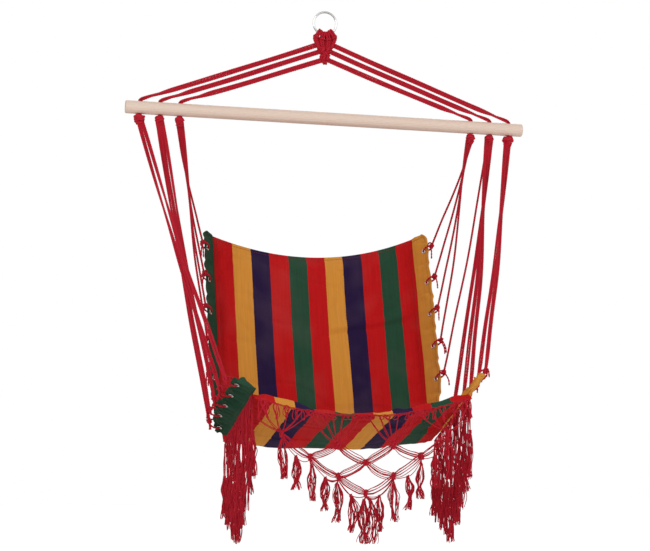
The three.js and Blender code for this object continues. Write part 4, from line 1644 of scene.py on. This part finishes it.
def side_net(sign):
    """The net below one of the seat's sides."""
    rear, front = seat_at(sign, 0), seat_at(sign, 1)
    middle = mix(rear, front, 0.5) - UP * (SEAT_HEM + 0.0008)
    return Net(middle, (front - rear).normalized(), SIDE_NET)


def strands(net, start, end, count, wide, chance, bow=0.002, pinch=0.45):
    """Threads side by side between two knots, each slack in its own way."""
    lines = []
    beside = (end - start).normalized().cross(net.out).normalized()
    beside = mix(beside, UP * math.copysign(1, beside.z), 0.6)
    for j in range(count):
        lane = (j / max(1, count - 1) - 0.5) * wide + chance.uniform(-0.10, 0.10) * wide / max(2, count - 1)
        slack = bow * chance.uniform(0.2, 1.3)
        front = chance.uniform(-0.0014, 0.0014)
        line = []
        for i in range(10):
            t = i / 9
            free = math.sin(math.pi * t)
            part = mix(pinch, 1.0, ease(min(t, 1 - t) / 0.22))
            point = mix(start, end, t) + beside * (lane * part) - UP * (slack * free)
            line.append(point + net.out * front * free)
        lines.append(line)
    return lines


def tassel_lines(net, neck, end, count, chance, wide):
    """Threads of one tassel: gathered at the neck, then loose in a few clumps that part and meet again."""
    down = end - neck
    clumps = [
        (2 * math.pi * (i + chance.uniform(-0.25, 0.25)) / 3, any_phase(chance)) for i in range(3)
    ]
    meet = chance.uniform(0.55, 0.80)
    waist = chance.uniform(0.15, 0.75)
    sway = net.along * chance.uniform(-0.006, 0.006) + net.out * chance.uniform(-0.002, 0.002)
    lines = []
    for j in range(count):
        place, phase = clumps[j % len(clumps)]
        own = 2 * math.pi * chance.random()
        loose = chance.uniform(0.10, 0.38) * (2.2 if chance.random() < 0.12 else 1.0)
        wave = any_phase(chance)
        reach = 1 - 0.09 * chance.random() ** 2
        line = []
        for i in range(15):
            t = i / 14
            belly = 0.30 + 0.70 * ease(t / 0.36)
            belly *= 1 - waist * math.exp(-(((t - meet) / 0.13) ** 2))
            angle = place + 1.1 * math.sin(2.6 * t + phase) * t
            x = wide * belly * (0.68 * math.cos(angle) + loose * math.cos(own + 3 * t))
            y = wide * belly * (0.45 * math.sin(angle) + loose * math.sin(own + 3 * t))
            point = neck + down * (t * reach) + sway * math.sin(math.pi * t)
            point += net.along * (x + 0.0008 * math.sin(19 * t + wave) * ease(t * 4)) + net.out * y
            line.append(point)
        lines.append(line)
    return lines


def binding(net, neck, chance):
    """The few turns of thread that close a tassel's neck."""
    points = []
    lean = chance.uniform(-0.0012, 0.0012)
    for i in range(4 * BINDING_STEPS + 1):
        turn = 2 * math.pi * i / BINDING_STEPS
        rise = 0.0032 - 0.0016 * i / BINDING_STEPS + lean * math.cos(turn)
        beside = net.along * math.cos(turn) + net.out * math.sin(turn)
        points.append(neck + beside * (BINDING_WIDTH / 2) + UP * rise)
    return points


def head_places(net):
    """Where threads leave the heading, and the knot of the first row to which each goes."""
    spots = []
    for column in range(-net.wing, net.wing + 1):
        if column % 2 and net.held(column, 1):
            spots += [(column + (k - 2.5) / 3, column) for k in range(6)]
    return spots


def curtain(net, chance):
    """The side fringe's heading cord, and slack threads that hang from it over the net."""
    lines = []
    spots = [mix(-net.wing, net.wing, i / HEADING_STEPS) for i in range(HEADING_STEPS + 1)]
    for shift in (-0.0009, 0.0009):
        drops = [0.0006 * math.sin(i * 1.1) + shift for i in range(len(spots))]
        lines.append([net.at(spot, drop, shift) for spot, drop in zip(spots, drops)])
    for i in range(CURTAIN_THREADS):
        share = (i + chance.uniform(-0.4, 0.4)) / (CURTAIN_THREADS - 1)
        start = kept_within(net.wing, mix(-net.wing, net.wing, share))
        end = kept_within(net.wing, round(start * 1.6) / 1.6 + chance.uniform(-0.07, 0.07))
        drop = net.reach(end) + chance.uniform(-0.015, 0.03)
        front = chance.uniform(-0.0055, 0.0055)
        wave = any_phase(chance)
        slack = chance.uniform(0.04, 0.20)
        line = []
        for j in range(11):
            t = j / 10
            spot = mix(start, end, ease(t * 2.8)) + slack * math.sin(7 * t + wave) * math.sin(math.pi * t)
            line.append(net.at(spot, drop * t, front * math.sin(math.pi * min(t * 1.6, 1) / 2)))
        lines.append(line)
    return lines


def heading(net, chance):
    """Pairs of threads from the heading to the first row of knots."""
    lines = []
    for place, column in head_places(net):
        foot = net.knot(column, 1) + net.along * (place - column) * 0.006 + UP * 0.006
        bow = chance.uniform(0.001, 0.008)
        lines += strands(net, net.head(place), foot, 2, 0.0026, chance, bow, 0.6)
    return lines


def knotted(net, chance):
    """The net's knots, and the bands of thread that run down from them."""
    fringe = settings().fringe
    knots = []
    lines = []
    for column, row in net.knots():
        if row:
            here = net.knot(column, row)
            width = fringe.knot * chance.uniform(0.92, 1.10)
            lean = UP + net.along * chance.uniform(-0.25, 0.25)
            spin = any_phase(chance)
            knots.append(tight_knot("net knot", here, width, width * 1.55, lean, 2, spin, 6, 5))
            for step in (-1, 1):
                if net.held(column + step, row + 1):
                    there = net.knot(column + step, row + 1)
                    bow = chance.uniform(0.002, 0.009)
                    lines += strands(net, here, there, fringe.strands, BAND_WIDTH, chance, bow)
    return knots, lines


def tassels(net, chance, doubled):
    """All tassels, each with its binding and with the threads that come down to its neck."""
    lines = []
    for i in range(-net.wing * doubled, net.wing * doubled + 1):
        column = i / doubled
        if doubled > 1:
            below_knot = i % doubled == 0
        else:
            below_knot = any(c == i and r for c, r in net.knots())
        drop = net.reach(column) - net.raised(column) + NECK_DROP * (0.8 if below_knot else 1.25)
        drift = chance.uniform(-0.06, 0.06) if abs(column) < net.wing else 0
        place = "side" if doubled == 1 else "front" if column else "middle"
        count = settings().fringe.tassel + MORE_THREADS[place]
        for twin in twins_at(column, doubled):
            spot = column + drift + twin
            neck = net.at(spot, drop + chance.uniform(-0.002, 0.002), chance.uniform(-0.002, 0.002))
            end = net.at(spot, mix(net.depth, net.end, net.share(column)) - chance.uniform(0, 0.006))
            for top in sorted({math.floor(column), math.ceil(column)}):
                start = net.lowest(top) - UP * 0.007
                many = 5 if top == column else chance.choice((1, 3))
                spread = 0.004 if many > 3 else 0.0018
                bow = 0.001 if top == column else 0.006
                lines += strands(net, start, neck, many, spread, chance, bow, 0.4)
            lines += tassel_lines(net, neck, end, count, chance, TASSEL_WIDTHS[place])
            lines.append(binding(net, neck, chance))
    return lines


def hang_net(name, net, seed, doubled):
    """A whole fringe as one piece: doubled with tassels at half columns too, or else with a curtain."""
    chance = random.Random(seed)
    lines = heading(net, chance)
    knots, bands = knotted(net, chance)
    lines += bands
    if doubled == 1:
        lines += curtain(net, chance)
    lines += tassels(net, chance, doubled)
    threads = thin_threads("net threads", lines, settings().cords.thread_dia, sides=0)
    return joined(name, [*knots, threads])


def twins_at(column, doubled):
    """Sideways shifts of the tassels at a column: two in the front's middle and at each side column."""
    if doubled == 1:
        return (-0.24, 0.24)
    return (-0.11, 0.11) if column == 0 else (0,)


class HAMMOCK_OT_hem(bpy.types.Operator):
    """Threads stitched through the front hem, in loops that the net hangs from"""

    bl_idname = "hammock.hem"
    bl_label = "Hem loops"

    def execute(self, context):
        chance = random.Random(5)
        dia = settings().cords.thread_dia
        net = front_net()
        lines = []
        for place, column in head_places(net):
            foot = net.head(place)
            lean = (place - column) * 0.015 + chance.uniform(-0.006, 0.006)
            high = chance.uniform(-0.002, 0.003)
            for shift in (-0.0010, 0.0010):
                lines.append(self.loop(foot + net.along * shift, lean, high, chance))
        for i in range(SLACK_LOOPS):
            x = (i - (SLACK_LOOPS - 1) / 2) * SLACK_LOOP_PITCH + chance.uniform(-0.006, 0.006)
            lines.append(self.slack_loop(x, chance))
        hem = [self.hem_at(mix(-0.24, 0.24, i / 96)) for i in range(97)]
        for shift in (-0.0011, 0.0011):
            rises = [shift + 0.0004 * math.sin(i * 1.7) for i in range(len(hem))]
            lines.append([point + SEAT_UP * rise for point, rise in zip(hem, rises)])
        settle(thin_threads("hem_threads", lines, dia, sides=1), "seat", "thread", "front_hem_loops")
        return {"FINISHED"}

    @staticmethod
    def hem_at(x):
        """A point of the line along which the hem is stitched."""
        across = 2 * x / SEAT_CHORD
        return seat_at(across, 1) + SEAT_FORWARD * 0.0024 - SEAT_UP * hem_roll(across)

    def slack_loop(self, x, chance):
        """A loop of thread that hangs slack from the hem."""
        room = self.hem_at(x).z - HEAD_FRONT.z
        deep = min(chance.uniform(0.012, 0.034), room + 0.004)
        wide = chance.uniform(0.005, 0.011)
        swing = chance.uniform(-0.008, 0.008)
        points = []
        for i in range(21):
            turn = math.pi * i / 10
            t = (1 - math.cos(turn)) / 2
            aside = wide * math.sin(turn) * (0.35 + 0.65 * t) + swing * t
            top = self.hem_at(kept_within(HEM_REACH, x + aside))
            out = 0.0012 + 0.0050 * math.sin(math.pi * min(1, t * 1.3))
            points.append(self.hem_at(x).lerp(top, 0.8) - Vector((0, out, deep * t)))
        return points

    def loop(self, foot, lean, high, chance):
        """One thread up through the hem and down again."""
        x = kept_within(HEM_REACH, foot.x - CREASE.x + lean + chance.uniform(-0.0012, 0.0012))
        top = self.hem_at(x) + SEAT_UP * high
        wide = 0.0052 + chance.uniform(-0.0012, 0.0016)
        down = foot - top
        points = []
        for i in range(21):
            turn = math.pi * (i / 10 - 1)
            t = abs(turn) / math.pi
            spread = wide * math.sin(math.pi * min(1, t * 1.25) ** 0.7) + 0.0011 * t
            point = top + down * t**1.4 + Vector((spread * (1 if turn < 0 else -1), 0, 0))
            point.y -= 0.0010 + 0.0034 * math.sin(math.pi * t)
            points.append(point)
        return points


class HAMMOCK_OT_fringes(bpy.types.Operator):
    """Knotted nets with tassels on the front and both sides"""

    bl_idname = "hammock.fringes"
    bl_label = "Fringes"

    def execute(self, context):
        settle(hang_net("fringe_front", front_net(), 21, 2), "front_net", "cord", "front_fringe")
        for side, sign in SIDES:
            piece = hang_net(f"fringe_{side}", side_net(sign), 31 + sign, 1)
            settle(piece, f"{side}_net", "cord", f"{side}_fringe")
        return {"FINISHED"}


# Add-on
STEPS = ("stage", "ring", "crown", "ropes", "bar", "pads", "flaps", "eyelets", "cords", "hem", "fringes")


class HAMMOCK_PT_steps(bpy.types.Panel):
    """Lists the chair's pieces"""

    bl_label = "Hammock chair"
    bl_space_type = "VIEW_3D"
    bl_region_type = "UI"
    bl_category = "Hammock"

    def draw(self, context):
        for step in STEPS:
            self.layout.operator(f"hammock.{step}")
        for group in ("cords", "cloth", "wood", "fringe", "stage"):
            owner = getattr(context.scene.hammock, group)
            box = self.layout.box()
            for name in owner.__annotations__:
                box.prop(owner, name)


CLASSES = (
    CordSettings,
    ClothSettings,
    WoodSettings,
    FringeSettings,
    StageSettings,
    HammockSettings,
    HAMMOCK_OT_stage,
    HAMMOCK_OT_ring,
    HAMMOCK_OT_crown,
    HAMMOCK_OT_ropes,
    HAMMOCK_OT_bar,
    HAMMOCK_OT_pads,
    HAMMOCK_OT_flaps,
    HAMMOCK_OT_eyelets,
    HAMMOCK_OT_cords,
    HAMMOCK_OT_hem,
    HAMMOCK_OT_fringes,
    HAMMOCK_PT_steps,
)


def register():
    """Adds the chair's classes and settings to Blender."""
    for item in CLASSES:
        bpy.utils.register_class(item)
    bpy.types.Scene.hammock = PointerProperty(type=HammockSettings)


def unregister():
    """Takes them out again."""
    del bpy.types.Scene.hammock
    for item in reversed(CLASSES):
        bpy.utils.unregister_class(item)


def main():
    """Builds the chair."""
    register()
    for step in STEPS:
        getattr(bpy.ops.hammock, step)()


if __name__ == "__main__":
    main()
